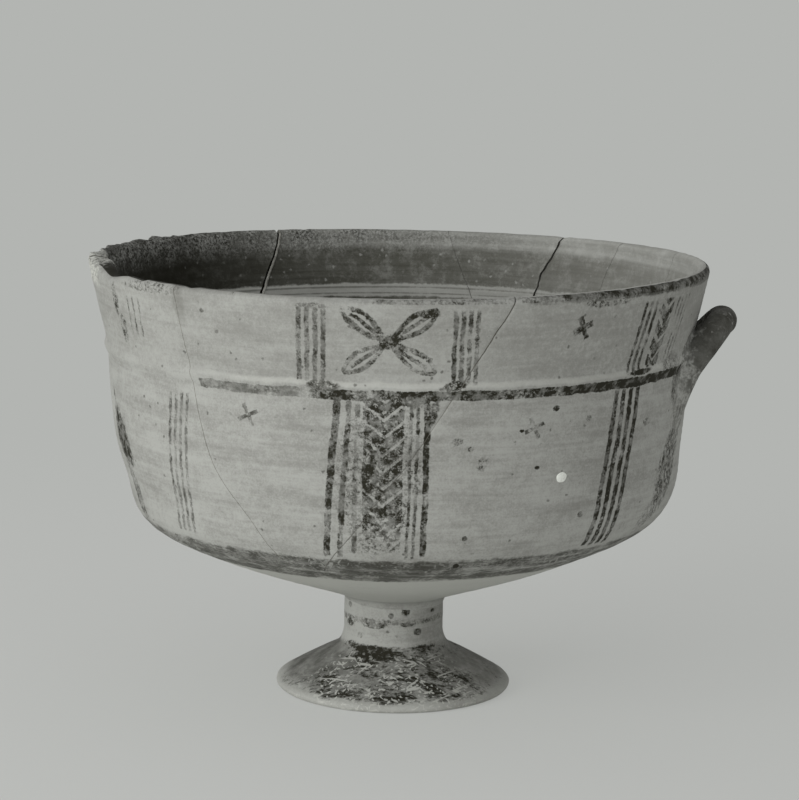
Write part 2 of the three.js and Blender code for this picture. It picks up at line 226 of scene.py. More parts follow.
class BowlFinish(bpy.types.PropertyGroup):
    """Colours and wear of the bowl."""

    slip: tint("Slip", "Pale slip of the outside", 170, 171, 166)
    slip_stain: tint("Stained Slip", "Slip where it is stained or thin", 138, 138, 133)
    paint: tint("Paint", "Dark paint of the ornament", 44, 43, 35)
    # The three inside paints, from right to left, hold painted light and shade as well as paint thickness:
    # palest at the lit right, darkest at the shaded left. The darkest also paints the shade in the open break.
    rubbed_paint: tint("Rubbed Inside Paint", "Dark paint inside, rubbed thin at the right", 138, 138, 131)
    inside_paint: tint("Inside Paint", "Dark paint inside, at the rear", 88, 88, 80)
    thick_paint: tint("Thick Inside Paint", "Dark paint inside, thick at the left", 34, 33, 24)
    raw_clay: tint("Raw Clay", "Clay in the breaks", 128, 126, 117)
    crust: tint("Crust", "Pale crust on the damaged rim", 192, 193, 186)
    pale_slip: tint("Pale Slip", "Slip where it is thick and clean", 204, 205, 198)
    glue: tint("Glue", "Old glue in the breaks", 78, 76, 67)
    pale_fill: tint("Pale Fill", "Filler in the rear left break", 214, 213, 205)
    plaster: tint("Plaster", "Plaster of the plug", 244, 247, 240)
    wear: share("Paint Left", "Share of the paint that is still there", 1.0)


class BowlStage(bpy.types.PropertyGroup):
    """Floor and light."""

    floor: tint("Floor", "Pale floor", 244, 245, 242)
    far_floor: tint("Far Floor", "Floor as the camera sees it far from the bowl", 179, 181, 178)
    sky: FloatProperty(name="Sky", description="Strength of the even light", default=0.45, min=0)
    key: lamp_power("Key", "Power of the lamp at the left", 9.9)
    fill: lamp_power("Fill", "Power of the lamp at the right", 2.6)


class Course:
    """A smooth value along a row of (position, value) stations, for arrays of positions."""

    def __init__(self, stations):
        ordered = np.array(sorted(stations), float)
        self.at, self.values = ordered[:, 0], ordered[:, 1]
        ends = len(self.at) - 1
        before = np.maximum(np.arange(ends + 1) - 1, 0)
        after = np.minimum(np.arange(ends + 1) + 1, ends)
        self.slopes = (self.values[after] - self.values[before]) / (self.at[after] - self.at[before])

    def __call__(self, position):
        position = np.asarray(position, float)
        k = np.clip(np.searchsorted(self.at, position, side="left") - 1, 0, len(self.at) - 2)
        span = self.at[k + 1] - self.at[k]
        t = (position - self.at[k]) / span
        chord = (self.values[k + 1] - self.values[k]) / span
        curl = (self.slopes[k] - chord) * (1 - t) - (self.slopes[k + 1] - chord) * t
        return self.values[k] + (chord + curl * (1 - t)) * t * span


OUTLINE = Course(BOWL_OUTLINE)
BREAKS = {name: Course(stations) for name, stations in BREAK_LINES.items()}


def smooth(value, low, high):
    """0 below low, 1 above high, and an easy curve between."""
    t = np.clip((np.asarray(value, float) - low) / (high - low), 0, 1)
    return t * t * (3 - 2 * t)


def bump(distance, half_width):
    return np.exp(-((distance / half_width) ** 2))


def rough(points, grain, seed=0):
    """Smooth random value from about -1 to 1 at each of many points, with lumps of one grain size."""
    flat = np.asarray(points, float).reshape(-1, 3) / grain + seed * 17.3
    values = [noise.noise(Vector(point)) for point in flat]
    return np.array(values).reshape(np.shape(points)[:-1])


def outline_slope(height):
    return OUTLINE(height + 0.5) - OUTLINE(height - 0.5)


def lean(height):
    return sum(shift * bump(height - middle, half_width) for shift, middle, half_width in LEANS)


def wall_points(sizes, azimuth, height, depth, proud=0):
    """Points of the bowl's wall, where depth 0 is the outer face and depth 1 the inner face."""
    azimuth, height, depth, proud = np.broadcast_arrays(azimuth, height, depth, proud)
    slope = outline_slope(height)
    steep = np.hypot(1, slope)
    floor_share = 1 - smooth(height, SEAT_HEIGHT, SHOULDER_HEIGHT)
    wall = sizes.wall / MM
    inset = depth * (wall + (FLOOR_THICKNESS - wall) * floor_share) - proud
    ridge = (1 - depth) * sizes.ridge / MM * bump(height - RIDGE_HEIGHT, RIDGE_HALF_WIDTH)
    radius = OUTLINE(height) + ridge - inset / steep
    around = np.cos(np.radians(2 * (azimuth - RIM_WARP_AZIMUTH)))
    rise = RIM_WARP * around * smooth(height, RIDGE_HEIGHT, RIM_HEIGHT)
    turn = np.radians(azimuth)
    return np.stack(
        [radius * np.cos(turn) + lean(height), radius * np.sin(turn), height + inset * slope / steep + rise],
        axis=-1,
    )


# The damaged rim in degrees and millimetres: where it starts and ends, and the crust, clod and chip on it.
DAMAGE_START = (122, 148)
DAMAGE_END = (196, 204)
CRUST_AZIMUTH, CRUST_REACH, CRUST_HEIGHT = 188, 7, 2.6
CLOD_AZIMUTH, CLOD_REACH, CLOD_DEPTH = 196, 7, 3.2
CHIP_AZIMUTH, CHIP_REACH, CHIP_DEPTH = 206, 4.5, 2.2
# Rings of the potter's fingers: their pitch and depth, each with its change towards the outside.
RING_PITCH, RING_PITCH_CHANGE = 4.1, 0.9
RING_DEPTH, RING_DEPTH_CHANGE = 1.3, 0.5


def thrown_wall(sizes, azimuth, height, depth, worn=0):
    """Wall points with the unevenness of throwing: slow wobble, finger rings, and a rough lip."""
    azimuth, height, depth, worn = np.broadcast_arrays(azimuth, height, depth, worn)
    bare = wall_points(sizes, azimuth, height, depth)
    outside = np.where(depth < 0.5, 1, -1)
    drift = 0.6 * np.sin(np.radians(azimuth * 2 + 40)) + rough(bare, 11, seed=1)
    rings = np.sin(2 * np.pi * height / (RING_PITCH - RING_PITCH_CHANGE * outside) + drift)
    ring_depth = sizes.throwing / MM * (RING_DEPTH - RING_DEPTH_CHANGE * outside)
    wobble = sizes.wobble / MM * rough(bare, 42, seed=2)
    fine = 0.05 * rough(bare, 2.2, seed=3)
    uneven = (outside * wobble + ring_depth * rings + fine) * np.abs(1 - 2 * depth)
    uneven = uneven * smooth(height, SEAT_HEIGHT, SEAT_HEIGHT + 9)
    damaged = smooth(azimuth, *DAMAGE_START) * (1 - smooth(azimuth, *DAMAGE_END))
    lip = smooth(height, RIM_HEIGHT - 10, RIM_HEIGHT - 2)
    lumps = rough(bare, 6.5, seed=4) + 0.6 * rough(bare, 3.1, seed=5)
    lumps = sizes.rim_lumps / MM * damaged * lip * lumps
    crust = bump(azimuth - CRUST_AZIMUTH, CRUST_REACH) * smooth(height, RIM_HEIGHT - 13, RIM_HEIGHT - 4)
    crust = crust * (0.75 + 0.9 * rough(bare, 3.2, seed=12))
    clod = CLOD_DEPTH * bump(azimuth - CLOD_AZIMUTH, CLOD_REACH)
    clod = clod * smooth(height, RIM_HEIGHT - 15, RIM_HEIGHT - 5)
    built_up = np.where(depth < 0.5, 0.6 * crust, -clod * smooth(depth, 0.5, 1))
    points = wall_points(sizes, azimuth, height, depth, uneven - worn + lumps + built_up)
    nick = np.maximum(rough(bare, 7, seed=6) - 0.42, 0) * 2.2 * (1 - damaged)
    nick = nick + CHIP_DEPTH * bump(azimuth - CHIP_AZIMUTH, CHIP_REACH)
    points[..., 2] += lip * (0.2 * rough(bare, 5, seed=7) - nick + 0.7 * lumps + CRUST_HEIGHT * crust)
    return points


def floor_break(azimuth, offset):
    """Height of the wavy break round the floor sherd, moved up the wall by an offset along its slope."""
    height = FLOOR_BREAK_HEIGHT + offset / np.hypot(1, outline_slope(FLOOR_BREAK_HEIGHT))
    for rise, count, turn in FLOOR_BREAK_WAVES:
        height = height + rise * np.sin(np.radians(count * azimuth + turn))
    return height


def full_turn():
    """Azimuths once round the bowl, as a column."""
    return np.linspace(0, 360, TURN_COLUMNS, endpoint=False)[:, None]


def break_track(name, height, stride, lane):
    """Places at which the unevenness along one break is read, apart from those of the other breaks."""
    track = list(BREAK_LOOKS).index(name) * stride
    return np.stack([height, np.full_like(height, track), np.full_like(height, lane)], axis=-1)


def break_azimuth(name, height, offset):
    """Azimuth along a ragged break, moved sideways along the wall by an offset in millimetres."""
    ragged = BREAK_LOOKS[name][3]
    along = break_track(name, height, 31.0, 0)
    stray = ragged * (rough(along, 6.5, seed=8) + 0.5 * rough(along, 1.9, seed=9))
    return BREAKS[name](height) + np.degrees((offset + stray) / OUTLINE(height))


def break_half_width(name, height):
    """Half the gap of a break, a little wider and narrower along it."""
    at_rim, at_floor, _, ragged = BREAK_LOOKS[name]
    width = at_floor + (at_rim - at_floor) * smooth(height, RIDGE_HEIGHT - 30, RIM_HEIGHT)
    along = break_track(name, height, 13.0, 1)
    return width / 2 * (1 + 0.5 * ragged * rough(along, 9, seed=10))


def placed(points):
    """Millimetres from the bowl's axis to metres in the frame."""
    return np.asarray(points, float) * MM + np.array([AXIS_X, AXIS_Y, 0])


def loft_faces(sections, length, joined=False):
    """Quads through closed sections of one length, capped at both ends or joined end to end."""
    faces = []
    spans = sections if joined else sections - 1
    for i in range(spans):
        here, following = i * length, (i + 1) % sections * length
        for k in range(length):
            turn = (k + 1) % length
            faces.append((here + k, here + turn, following + turn, following + k))
    if not joined:
        last = (sections - 1) * length
        for k in range(length // 2 - 1):
            opposite = length - 1 - k
            faces.append((k, opposite, opposite - 1, k + 1))
            faces.append((last + k, last + k + 1, last + opposite - 1, last + opposite))
    return faces


def outward(points, faces):
    """The same faces, turned round if they enclose a negative volume."""
    corners = np.array(faces)
    a, b, c, d = (points[corners[:, k]] for k in range(4))
    volume = np.einsum("ij,ij->i", a, np.cross(b, c)).sum() + np.einsum("ij,ij->i", a, np.cross(c, d)).sum()
    return [face[::-1] for face in faces] if volume < 0 else faces


def loft_mesh(name, loops, joined=False):
    """A closed mesh in the frame, through closed sections in millimetres from the bowl's axis."""
    points = placed(loops.reshape(-1, 3))
    mesh = bpy.data.meshes.new(name)
    mesh.from_pydata(points.tolist(), [], outward(points, loft_faces(*loops.shape[:2], joined)))
    return mesh


def loft_piece(name, loops, finishes, node, slot, joined=False, ring=None, cap=0, sharp=50):
    """One piece that stands for one CAD node, with a ring of finishes round it and one finish on its caps."""
    mesh = loft_mesh(name, loops, joined)
    for finish in finishes:
        mesh.materials.append(finish)
    if ring is not None:
        spans = len(loops) if joined else len(loops) - 1
        face_finishes = np.full(len(mesh.polygons), cap, np.int32)
        face_finishes[:spans * len(ring)] = np.tile(ring, spans)
        mesh.polygons.foreach_set("material_index", face_finishes)
    mesh.shade_smooth()
    mesh.set_sharp_from_angle(angle=math.radians(sharp))
    mesh.update()
    piece = bpy.data.objects.new(name, mesh)
    bpy.context.scene.collection.objects.link(piece)
    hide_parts(node)
    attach(piece, "root")
    return piece


def give_tone(piece, tone):
    """How much paler or darker this piece is than its neighbours, for its finish to read."""
    attribute = piece.data.attributes.new("sherd_tone", "FLOAT", "POINT")
    attribute.data.foreach_set("value", np.full(len(piece.data.vertices), tone, np.float32))


LIP_ANGLES = (82, 62, 40, 18)
WALL_ROWS = 74
MID_WALL_HEIGHT = 130.0
MID_WALL_RADIUS = 120
COLUMN_SPACING = 1.7
EDGE_COLUMNS = (0, 0.3, 0.8, 1.6)


def edge_spaced(width):
    """Shares across a sherd, closer together at its two broken edges."""
    inner = np.linspace(EDGE_COLUMNS[-1], width - EDGE_COLUMNS[-1], max(3, round(width / COLUMN_SPACING)))
    return np.concatenate([EDGE_COLUMNS[:-1], inner, width - np.array(EDGE_COLUMNS[-2::-1])]) / width


def wall_sherd(sizes, start, stop):
    """Sections of one wall sherd, from one break round to the next."""
    turn = 360 if stop == "right" else 0

    def azimuth_at(height, across):
        first = break_azimuth(start, height, break_half_width(start, height))
        last = break_azimuth(stop, height, -break_half_width(stop, height)) + turn
        return first + (last - first) * across

    middle = np.array([MID_WALL_HEIGHT])
    width = np.radians(azimuth_at(middle, 1) - azimuth_at(middle, 0))[0] * MID_WALL_RADIUS
    across = edge_spaced(width)[:, None]
    lip_radius = sizes.wall / MM / 2
    lip_base = RIM_HEIGHT - lip_radius
    lip = np.radians(LIP_ANGLES)
    lip_heights = np.broadcast_to(lip_base + lip_radius * np.sin(lip), (len(across), len(lip)))
    low_azimuth = azimuth_at(np.full(across.shape, float(FLOOR_BREAK_HEIGHT)), across)
    bottom = floor_break(low_azimuth, FLOOR_BREAK_WIDTH / 2)
    heights = lip_base + (bottom - lip_base) * np.linspace(0, 1, WALL_ROWS)
    heights = np.concatenate([lip_heights, heights], axis=1)
    rounding = np.concatenate([0.5 - 0.5 * np.cos(lip), np.zeros(WALL_ROWS)])
    azimuths = azimuth_at(heights, across)
    to_edge = np.minimum(across, 1 - across) * width
    start_worn, stop_worn = (BREAK_LOOKS[name][3] for name in (start, stop))
    raggedness = np.where(across < 0.5, start_worn, stop_worn)
    chips = 0.6 + np.abs(rough(wall_points(sizes, azimuths, heights, 0.0), 2.4, seed=11)) * 1.6
    worn = raggedness * 0.55 * bump(to_edge, 0.55) * chips
    outer = thrown_wall(sizes, azimuths, heights, rounding, worn)
    inner = thrown_wall(sizes, azimuths, heights, 1 - rounding, worn)
    return np.concatenate([outer, inner[:, ::-1]], axis=1)


# Glue in the breaks: rows along it, how far it ends below the rim, and its share of the gap's width.
GLUE_ROWS = 110
GLUE_BELOW_RIM = 1.6
GLUE_WIDTH = 1.04
# Corners of the glue round the floor: shares of the gap's width, and of the way through the wall.
FLOOR_GLUE_SIDES = np.array([0.52, 0.52, -0.52, -0.52])
FLOOR_GLUE_DEPTHS = np.array([0.05, 0.95, 0.95, 0.05])
# Which faces round the filler of the widest break lie in its open half: 0 filled, 1 open, where a dark finish is
# painted shade of the deep gap.
GAP_RING = (0, 1, 1, 1, 1, 1, 0, 0)


def glue_seam(sizes, name):
    """Sections of the glue along one break of the wall, from the rim down to the floor's break."""
    at_rim, _, recess, _ = BREAK_LOOKS[name]
    heights = np.linspace(RIM_HEIGHT - GLUE_BELOW_RIM, FLOOR_BREAK_HEIGHT, GLUE_ROWS)
    half = break_half_width(name, heights)
    low_azimuth = break_azimuth(name, np.array([float(FLOOR_BREAK_HEIGHT)]), 0.0)[0]
    levels = np.maximum(heights, floor_break(low_azimuth, FLOOR_BREAK_WIDTH / 2) + 0.1)
    drop = recess / (sizes.wall / MM) * np.minimum(2 * half / at_rim, 1)
    deep = 4 * drop if name == OPEN_BREAK else drop
    outer_half = [(-1, drop), (-0.2, drop), (-0.1, deep), (1, deep)]
    rows = []
    for side, depth in outer_half + [(side, 1 - depth) for side, depth in reversed(outer_half)]:
        azimuth = break_azimuth(name, heights, side * half * GLUE_WIDTH)
        rows.append(thrown_wall(sizes, azimuth, levels, depth))
    return np.stack(rows, axis=1)


PIN_SIDES = 40
PIN_SQUAT = 0.87
# Rings of the plug and of the hole for it: share of the way through the wall, and share of the plug's radius.
PLUG_RINGS = [
    (-0.07, 0.3),
    (-0.06, 0.7),
    (-0.035, 0.96),
    (-0.008, 1.06),
    (0.03, 1.0),
    (0.97, 1.0),
    (1.005, 0.95),
    (1.01, 0.3),
]
HOLE_RINGS = [(-0.4, 1.01), (1.4, 1.01)]


def wall_pin(sizes, rings):
    """Sections of a pin through the wall at the filled hole."""
    ends = thrown_wall(sizes, PLUG_AZIMUTH, PLUG_HEIGHT, np.array([0.0, 1.0]))
    through = (ends[1] - ends[0]) / np.linalg.norm(ends[1] - ends[0])
    side = np.cross(through, [0, 0, 1])
    side = side / np.linalg.norm(side)
    up = np.cross(side, through)
    angles = np.linspace(0, 2 * np.pi, PIN_SIDES, endpoint=False)
    loops = []
    for depth, ring in rings:
        middle = ends[0] + (ends[1] - ends[0]) * depth
        spread = sizes.plug_radius / MM * ring * (1 + 0.02 * np.sin(5 * angles))
        level, upright = spread * np.cos(angles), PIN_SQUAT * spread * np.sin(angles)
        loops.append(middle + np.outer(level, side) + np.outer(upright, up))
    return np.array(loops)


def cut_hole(piece, sizes):
    """Cuts the hole for the plug through a piece."""
    mesh = loft_mesh("hole", wall_pin(sizes, HOLE_RINGS))
    cutter = bpy.data.objects.new("hole", mesh)
    bpy.context.scene.collection.objects.link(cutter)
    modifier = piece.modifiers.new("Hole", "BOOLEAN")
    modifier.operation = "DIFFERENCE"
    modifier.solver = "EXACT"
    modifier.object = cutter
    bpy.context.view_layer.update()
    drilled = bpy.data.meshes.new_from_object(piece.evaluated_get(bpy.context.evaluated_depsgraph_get()))
    piece.modifiers.clear()
    whole = piece.data
    piece.data = drilled
    drilled.name = whole.name + "_drilled"
    bpy.data.meshes.remove(whole)
    bpy.data.objects.remove(cutter)
    bpy.data.meshes.remove(mesh)


TURNED_COLUMNS = 144


def turned_piece(profile, stray, seed):
    """Sections of a solid turned from a closed profile of (radius, height), a little uneven."""
    angles = np.linspace(0, 2 * np.pi, TURNED_COLUMNS, endpoint=False)[:, None]
    radius, height = np.array(profile).T
    heights = np.broadcast_to(height, (TURNED_COLUMNS, len(height)))
    even = np.stack([radius * np.cos(angles), radius * np.sin(angles), heights], -1)
    uneven = rough(even, 14, seed=seed + 20) + 0.5 * rough(even, 3, seed=seed + 21)
    spread = radius * (1 + 0.004 * np.cos(2 * angles + seed)) + stray * uneven * (radius > 1)
    return np.stack([spread * np.cos(angles), spread * np.sin(angles), heights], -1)


def bend(start, control, end, steps):
    """Points of a quadratic curve after its start."""
    t = np.linspace(0, 1, steps + 1)[1:, None]
    a, b, c = (np.array(point, float) for point in (start, control, end))
    return ((1 - t) ** 2 * a + 2 * t * (1 - t) * b + t**2 * c).tolist()


def straight(start, end, steps):
    """Points of a straight stretch after its start."""
    t = np.linspace(0, 1, steps + 1)[1:, None]
    return (np.array(start, float) * (1 - t) + np.array(end, float) * t).tolist()


def pedestal_profile():
    """Outline of stem, foot, resting ring and hollow, from axis to axis, and how many points are painted."""
    top, hollow_top = 39.0, 15
    profile = [(AXIS_GAP, top), (STEM_RADIUS - 4, top), (STEM_RADIUS - 0.1, top)]
    profile += straight(profile[-1], (STEM_RADIUS, 36), 2)
    profile += straight(profile[-1], (STEM_RADIUS, 25), 8)
    profile += bend(profile[-1], (STEM_RADIUS + 0.6, 18.6), (STEM_RADIUS + 4.8, 16.2), 10)
    profile += bend(profile[-1], (FOOT_RADIUS - 14, 11.6), (FOOT_RADIUS - 2.6, 4.6), 16)
    profile += bend(profile[-1], (FOOT_RADIUS - 0.2, 3.4), (FOOT_RADIUS, 2.2), 5)
    profile += bend(profile[-1], (FOOT_RADIUS, 0), (FOOT_RADIUS - 3.5, 0), 7)
    painted = len(profile)
    profile += straight(profile[-1], (FOOT_RADIUS - 9.5, 0), 3)
    profile += bend(profile[-1], (STEM_RADIUS, hollow_top), (AXIS_GAP, hollow_top), 14)
    return profile, painted


def luting_profile():
    """Outline of the slip bed between stem and bowl."""
    inner, outer = STEM_RADIUS - 8, STEM_RADIUS + 4.2
    profile = [(inner, 37.5), (STEM_RADIUS - 0.3, 36.6)]
    profile += bend((STEM_RADIUS + 0.02, 36.8), (STEM_RADIUS + 0.3, 39.6), (outer, 41.2), 8)
    return profile + [(outer, 41.6), (inner, 40.6)]


HANDLE_RINGS = 120
HANDLE_SIDES = 32
HANDLE_GAP = 0.05
PATH_STEPS = 24


def between(first, second, start, stop, at):
    """Point at one moment on the way from a first point, at the start, to a second, at the stop."""
    return first + (second - first) * (at - start) / (stop - start)


def ring_path(points, samples):
    """A smooth path through points that keeps its bends even, and its directions, at even steps."""
    points = np.array(points, float)
    ends = [2 * points[0] - points[1], *points, 2 * points[-1] - points[-2]]
    fine = []
    for p0, p1, p2, p3 in zip(ends, ends[1:], ends[2:], ends[3:]):
        steps = [np.linalg.norm(b - a) ** 0.5 for a, b in ((p0, p1), (p1, p2), (p2, p3))]
        k0, k1, k2, k3 = np.cumsum([0] + steps)
        for t in np.linspace(k1, k2, PATH_STEPS, endpoint=False):
            second = between(p1, p2, k1, k2, t)
            before = between(between(p0, p1, k0, k1, t), second, k0, k2, t)
            after = between(second, between(p2, p3, k2, k3, t), k1, k3, t)
            fine.append(between(before, after, k1, k2, t))
    fine = np.array(fine + [points[-1]])
    run = np.concatenate([[0], np.cumsum(np.linalg.norm(np.diff(fine, axis=0), axis=1))])
    even = np.linspace(0, run[-1], samples)
    path = np.stack([np.interp(even, run, fine[:, k]) for k in range(3)], -1)
    heading = np.gradient(path, axis=0)
    return path, heading / np.linalg.norm(heading, axis=1, keepdims=True)


def handle_bar(sizes):
    """Rings of the handle's bar before it meets the wall, near arm first, and the path it follows."""
    near = [(out, -along, height) for along, out, height in HANDLE_HALF_PATH]
    far = [(out, along, height) for along, out, height in reversed(HANDLE_HALF_PATH)]
    tip = (HANDLE_TIP[1], HANDLE_TIP[0], HANDLE_TIP[2])
    turn = np.array(Matrix.Rotation(math.radians(HANDLE_AZIMUTH), 3, "Z"))
    path, heading = ring_path(np.array(near + [tip] + far) @ turn.T, HANDLE_RINGS)
    side = np.cross(heading[0], [1, 0, 0])
    angles = np.linspace(0, 2 * np.pi, HANDLE_SIDES, endpoint=False)
    rings = []
    for middle, ahead in zip(path, heading):
        side = side - ahead * side.dot(ahead)
        side = side / np.linalg.norm(side)
        spokes = np.outer(np.cos(angles), side) + np.outer(np.sin(angles), np.cross(ahead, side))
        rings.append(middle + sizes.handle_radius / MM * spokes)
    return np.array(rings), path


def wall_distance(sizes, points):
    """How far points stand outside the bowl's outer face, measured level."""
    height = np.clip(points[..., 2], SEAT_HEIGHT, RIM_HEIGHT)
    face = OUTLINE(height) + sizes.ridge / MM * bump(height - RIDGE_HEIGHT, RIDGE_HALF_WIDTH)
    return np.hypot(points[..., 0] - lean(height), points[..., 1]) - face


def on_wall(sizes, points, proud):
    """The same points moved level on to the bowl's outer face, standing a little proud."""
    moved = np.array(points, float)
    height = np.clip(moved[..., 2], SEAT_HEIGHT, RIM_HEIGHT)
    middle = lean(height)
    reach = np.hypot(moved[..., 0] - middle, moved[..., 1])
    target = (reach - wall_distance(sizes, moved) + proud) / reach
    moved[..., 0] = middle + (moved[..., 0] - middle) * target
    moved[..., 1] = moved[..., 1] * target
    return moved


# The clay round a handle root: steps up its curve, and how far its thin edge and its inside lie off the wall.
COLLAR_STEPS = 9
COLLAR_EDGE = 0.04
COLLAR_SINK = -0.6


def collar_sections(sizes, rings, path, near):
    """Closed sections of the clay smoothed round one root of the handle, one for each side of the bar."""
    order = slice(None) if near else slice(None, None, -1)
    rings, path = rings[order], path[order]
    reach = sizes.collar_reach / MM
    climb = max(2, round(reach / np.linalg.norm(path[1] - path[0])))
    crossings = np.argmax(wall_distance(sizes, rings) > 0, axis=0)
    meets = np.array([rings[crossing, k] for k, crossing in enumerate(crossings)])
    root = meets.mean(axis=0)
    sections = []
    for k, crossing in enumerate(crossings):
        away = meets[k] - root
        away = away / np.linalg.norm(away)
        below = max(-away[2], 0)
        start = min(crossing + round(climb * (1 + below)), HANDLE_RINGS // 2)
        high = rings[start, k]
        low = on_wall(sizes, meets[k] + away * (reach * (1 + 1.5 * below)), COLLAR_EDGE)
        corner = on_wall(sizes, meets[k], 0.25 + 2.2 * below)
        inside = [
            high + (path[start] - high) * 0.3,
            on_wall(sizes, meets[k] - away * 1.5, COLLAR_SINK),
            on_wall(sizes, low, COLLAR_SINK),
        ]
        sections.append(np.array([low, *bend(low, corner, high, COLLAR_STEPS), *inside]))
    return np.array(sections)


class Level:
    """A value in a node tree that adds, subtracts, multiplies and divides as a plain number does."""

    def __init__(self, bench, socket):
        self.bench = bench
        self.socket = socket

    def __add__(self, other):
        return self.bench.maths("ADD", self, other)

    def __radd__(self, other):
        return self.bench.maths("ADD", other, self)

    def __sub__(self, other):
        return self.bench.maths("SUBTRACT", self, other)

    def __rsub__(self, other):
        return self.bench.maths("SUBTRACT", other, self)

    def __mul__(self, other):
        return self.bench.maths("MULTIPLY", self, other)

    def __truediv__(self, other):
        return self.bench.maths("DIVIDE", self, other)

    def __abs__(self):
        return self.bench.maths("ABSOLUTE", self)


def label(name):
    """The name of a socket as it is shown."""
    return name.replace("_", " ").title()


# Places of the two colours among the inputs of a mix, and of the mixed colour among its outputs.
MIX_FIRST, MIX_SECOND, MIX_RESULT = 6, 7, 2


class Bench:
    """A node tree with short calls for the nodes that the finishes are made of."""

    def __init__(self, tree):
        self.tree = tree

    def node(self, kind, inputs=None, **settings):
        """A new node with its settings, and with some inputs fed by name or number."""
        made = self.tree.nodes.new(kind)
        for setting, value in settings.items():
            setattr(made, setting, value)
        for key, value in (inputs or {}).items():
            self.feed(made.inputs[key], value)
        return made

    def feed(self, socket, value):
        """Links a level, or sets a plain value, on an input."""
        if isinstance(value, Level):
            self.tree.links.new(value.socket, socket)
        else:
            socket.default_value = value

    def level(self, node, output=0):
        return Level(self, node.outputs[output])

    def maths(self, operation, *values, clamp=False):
        inputs = dict(enumerate(values))
        return self.level(self.node("ShaderNodeMath", inputs, operation=operation, use_clamp=clamp))

    def vectors(self, operation, *values, output="Vector"):
        inputs = dict(enumerate(values))
        return self.level(self.node("ShaderNodeVectorMath", inputs, operation=operation), output)

    def scaled(self, vector, factors):
        return self.vectors("MULTIPLY", vector, factors)

    def most(self, *values):
        """The largest of some values."""
        top = values[0]
        for value in values[1:]:
            top = self.maths("MAXIMUM", top, value)
        return top

    def rise(self, value, low, high):
        """0 below low and 1 above high, or the other way round where high is the lower one."""
        falls = not isinstance(low, Level) and not isinstance(high, Level) and low > high
        start, stop, first, last = (high, low, 1.0, 0.0) if falls else (low, high, 0.0, 1.0)
        inputs = {"Value": value, "From Min": start, "From Max": stop, "To Min": first, "To Max": last}
        return self.level(self.node("ShaderNodeMapRange", inputs, interpolation_type="SMOOTHSTEP"), "Result")

    def stroke(self, inside, soft=0.5):
        """Mask of a brush stroke from how far inside its edge a point lies."""
        return self.rise(inside, -soft, soft)

    def cloud(self, vector, per_mm, detail=2.0, roughness=0.55):
        """Noise from about 0.25 to 0.75 over places in millimetres."""
        inputs = {"Vector": vector, "Scale": per_mm, "Detail": detail, "Roughness": roughness}
        return self.level(self.node("ShaderNodeTexNoise", inputs, noise_dimensions="3D"))

    def cells(self, vector, per_mm):
        """Distance to, and random colour of, scattered points."""
        made = self.node("ShaderNodeTexVoronoi", {"Vector": vector, "Scale": per_mm}, feature="F1")
        return self.level(made, "Distance"), self.level(made, "Color")

    def blend(self, part, first, second):
        """Colour from first to second."""
        inputs = {0: part}
        for key, colour in ((MIX_FIRST, first), (MIX_SECOND, second)):
            inputs[key] = colour if isinstance(colour, Level) else (*colour, 1.0)
        return self.level(self.node("ShaderNodeMix", inputs, data_type="RGBA"), MIX_RESULT)

    def use(self, group, **values):
        """Places a shared node group with some inputs, and gives its outputs by name."""
        inputs = {label(name): value for name, value in values.items()}
        made = self.node("ShaderNodeGroup", inputs, node_tree=shared_group(group))
        return {socket.name.lower(): Level(self, socket) for socket in made.outputs}

    def sockets(self, direction, names):
        """Gives a node group its named inputs or outputs."""
        for name in names:
            kind = "NodeSocketVector" if name == "place" else "NodeSocketFloat"
            self.tree.interface.new_socket(name=label(name), in_out=direction, socket_type=kind)


GROUP_MAKERS = {}
MM_PER_DEGREE = 2.13


def group(maker):
    """Keeps the maker of a shared node group by its name. The group's inputs are the maker's arguments."""
    GROUP_MAKERS[maker.__name__] = maker
    return maker


def shared_group(name):
    """Gives back a node group by name, built on its first use."""
    if name in bpy.data.node_groups:
        return bpy.data.node_groups[name]
    maker = GROUP_MAKERS[name]
    g = Bench(bpy.data.node_groups.new(name, "ShaderNodeTree"))
    given = list(inspect.signature(maker).parameters)[1:]
    g.sockets("INPUT", given)
    source = g.node("NodeGroupInput")
    results = maker(g, *[g.level(source, label(key)) for key in given])
    g.sockets("OUTPUT", results)
    g.node("NodeGroupOutput", {label(key): value for key, value in results.items()})
    return g.tree


@group
def bowl_places(g):
    """Where a point lies on the bowl: degrees round from the front, height, and place in millimetres."""
    from_axis = g.vectors("SUBTRACT", g.level(g.node("ShaderNodeTexCoord"), "Object"), (AXIS_X, AXIS_Y, 0))
    place = g.scaled(from_axis, (1 / MM, 1 / MM, 1 / MM))
    parts = g.node("ShaderNodeSeparateXYZ", {0: place})
    x, y, height = (g.level(parts, k) for k in range(3))
    turn = g.maths("ARCTAN2", x, y * -1.0)
    return {"angle": g.maths("DEGREES", turn), "height": height, "place": place}


@group
def band(g, at, low, high, soft):
    """Mask of a band between two values, with soft edges."""
    return {"mask": g.rise(at - low, 0.0, soft) * g.rise(high - at, 0.0, soft)}


@group
def upright_lines(g, angle, height, middle, mid_height, lean, pitch, count, line, low, high):
    """Mask of a set of near-upright brush lines, evenly spaced round a leaning middle line."""
    aside = angle - middle - lean * (height - mid_height)
    half = count * 0.5
    step = aside * MM_PER_DEGREE / pitch + half
    off_line = abs(g.maths("FRACT", step) - 0.5) * pitch
    drawn = g.rise(line * 0.5 - off_line, -0.5, 0.45)
    among = g.maths("LESS_THAN", abs(step - half), half)
    window = g.use("band", at=height, low=low, high=high, soft=2.0)
    return {"mask": drawn * among * window["mask"]}


# How far out the swell of a leaf lies, and where its midrib and its tip end, as shares of its length.
LEAF_SWELL_POWER = 1.35
MIDRIB_END = (0.86, 0.8)
LEAF_END = (1.03, 0.99)


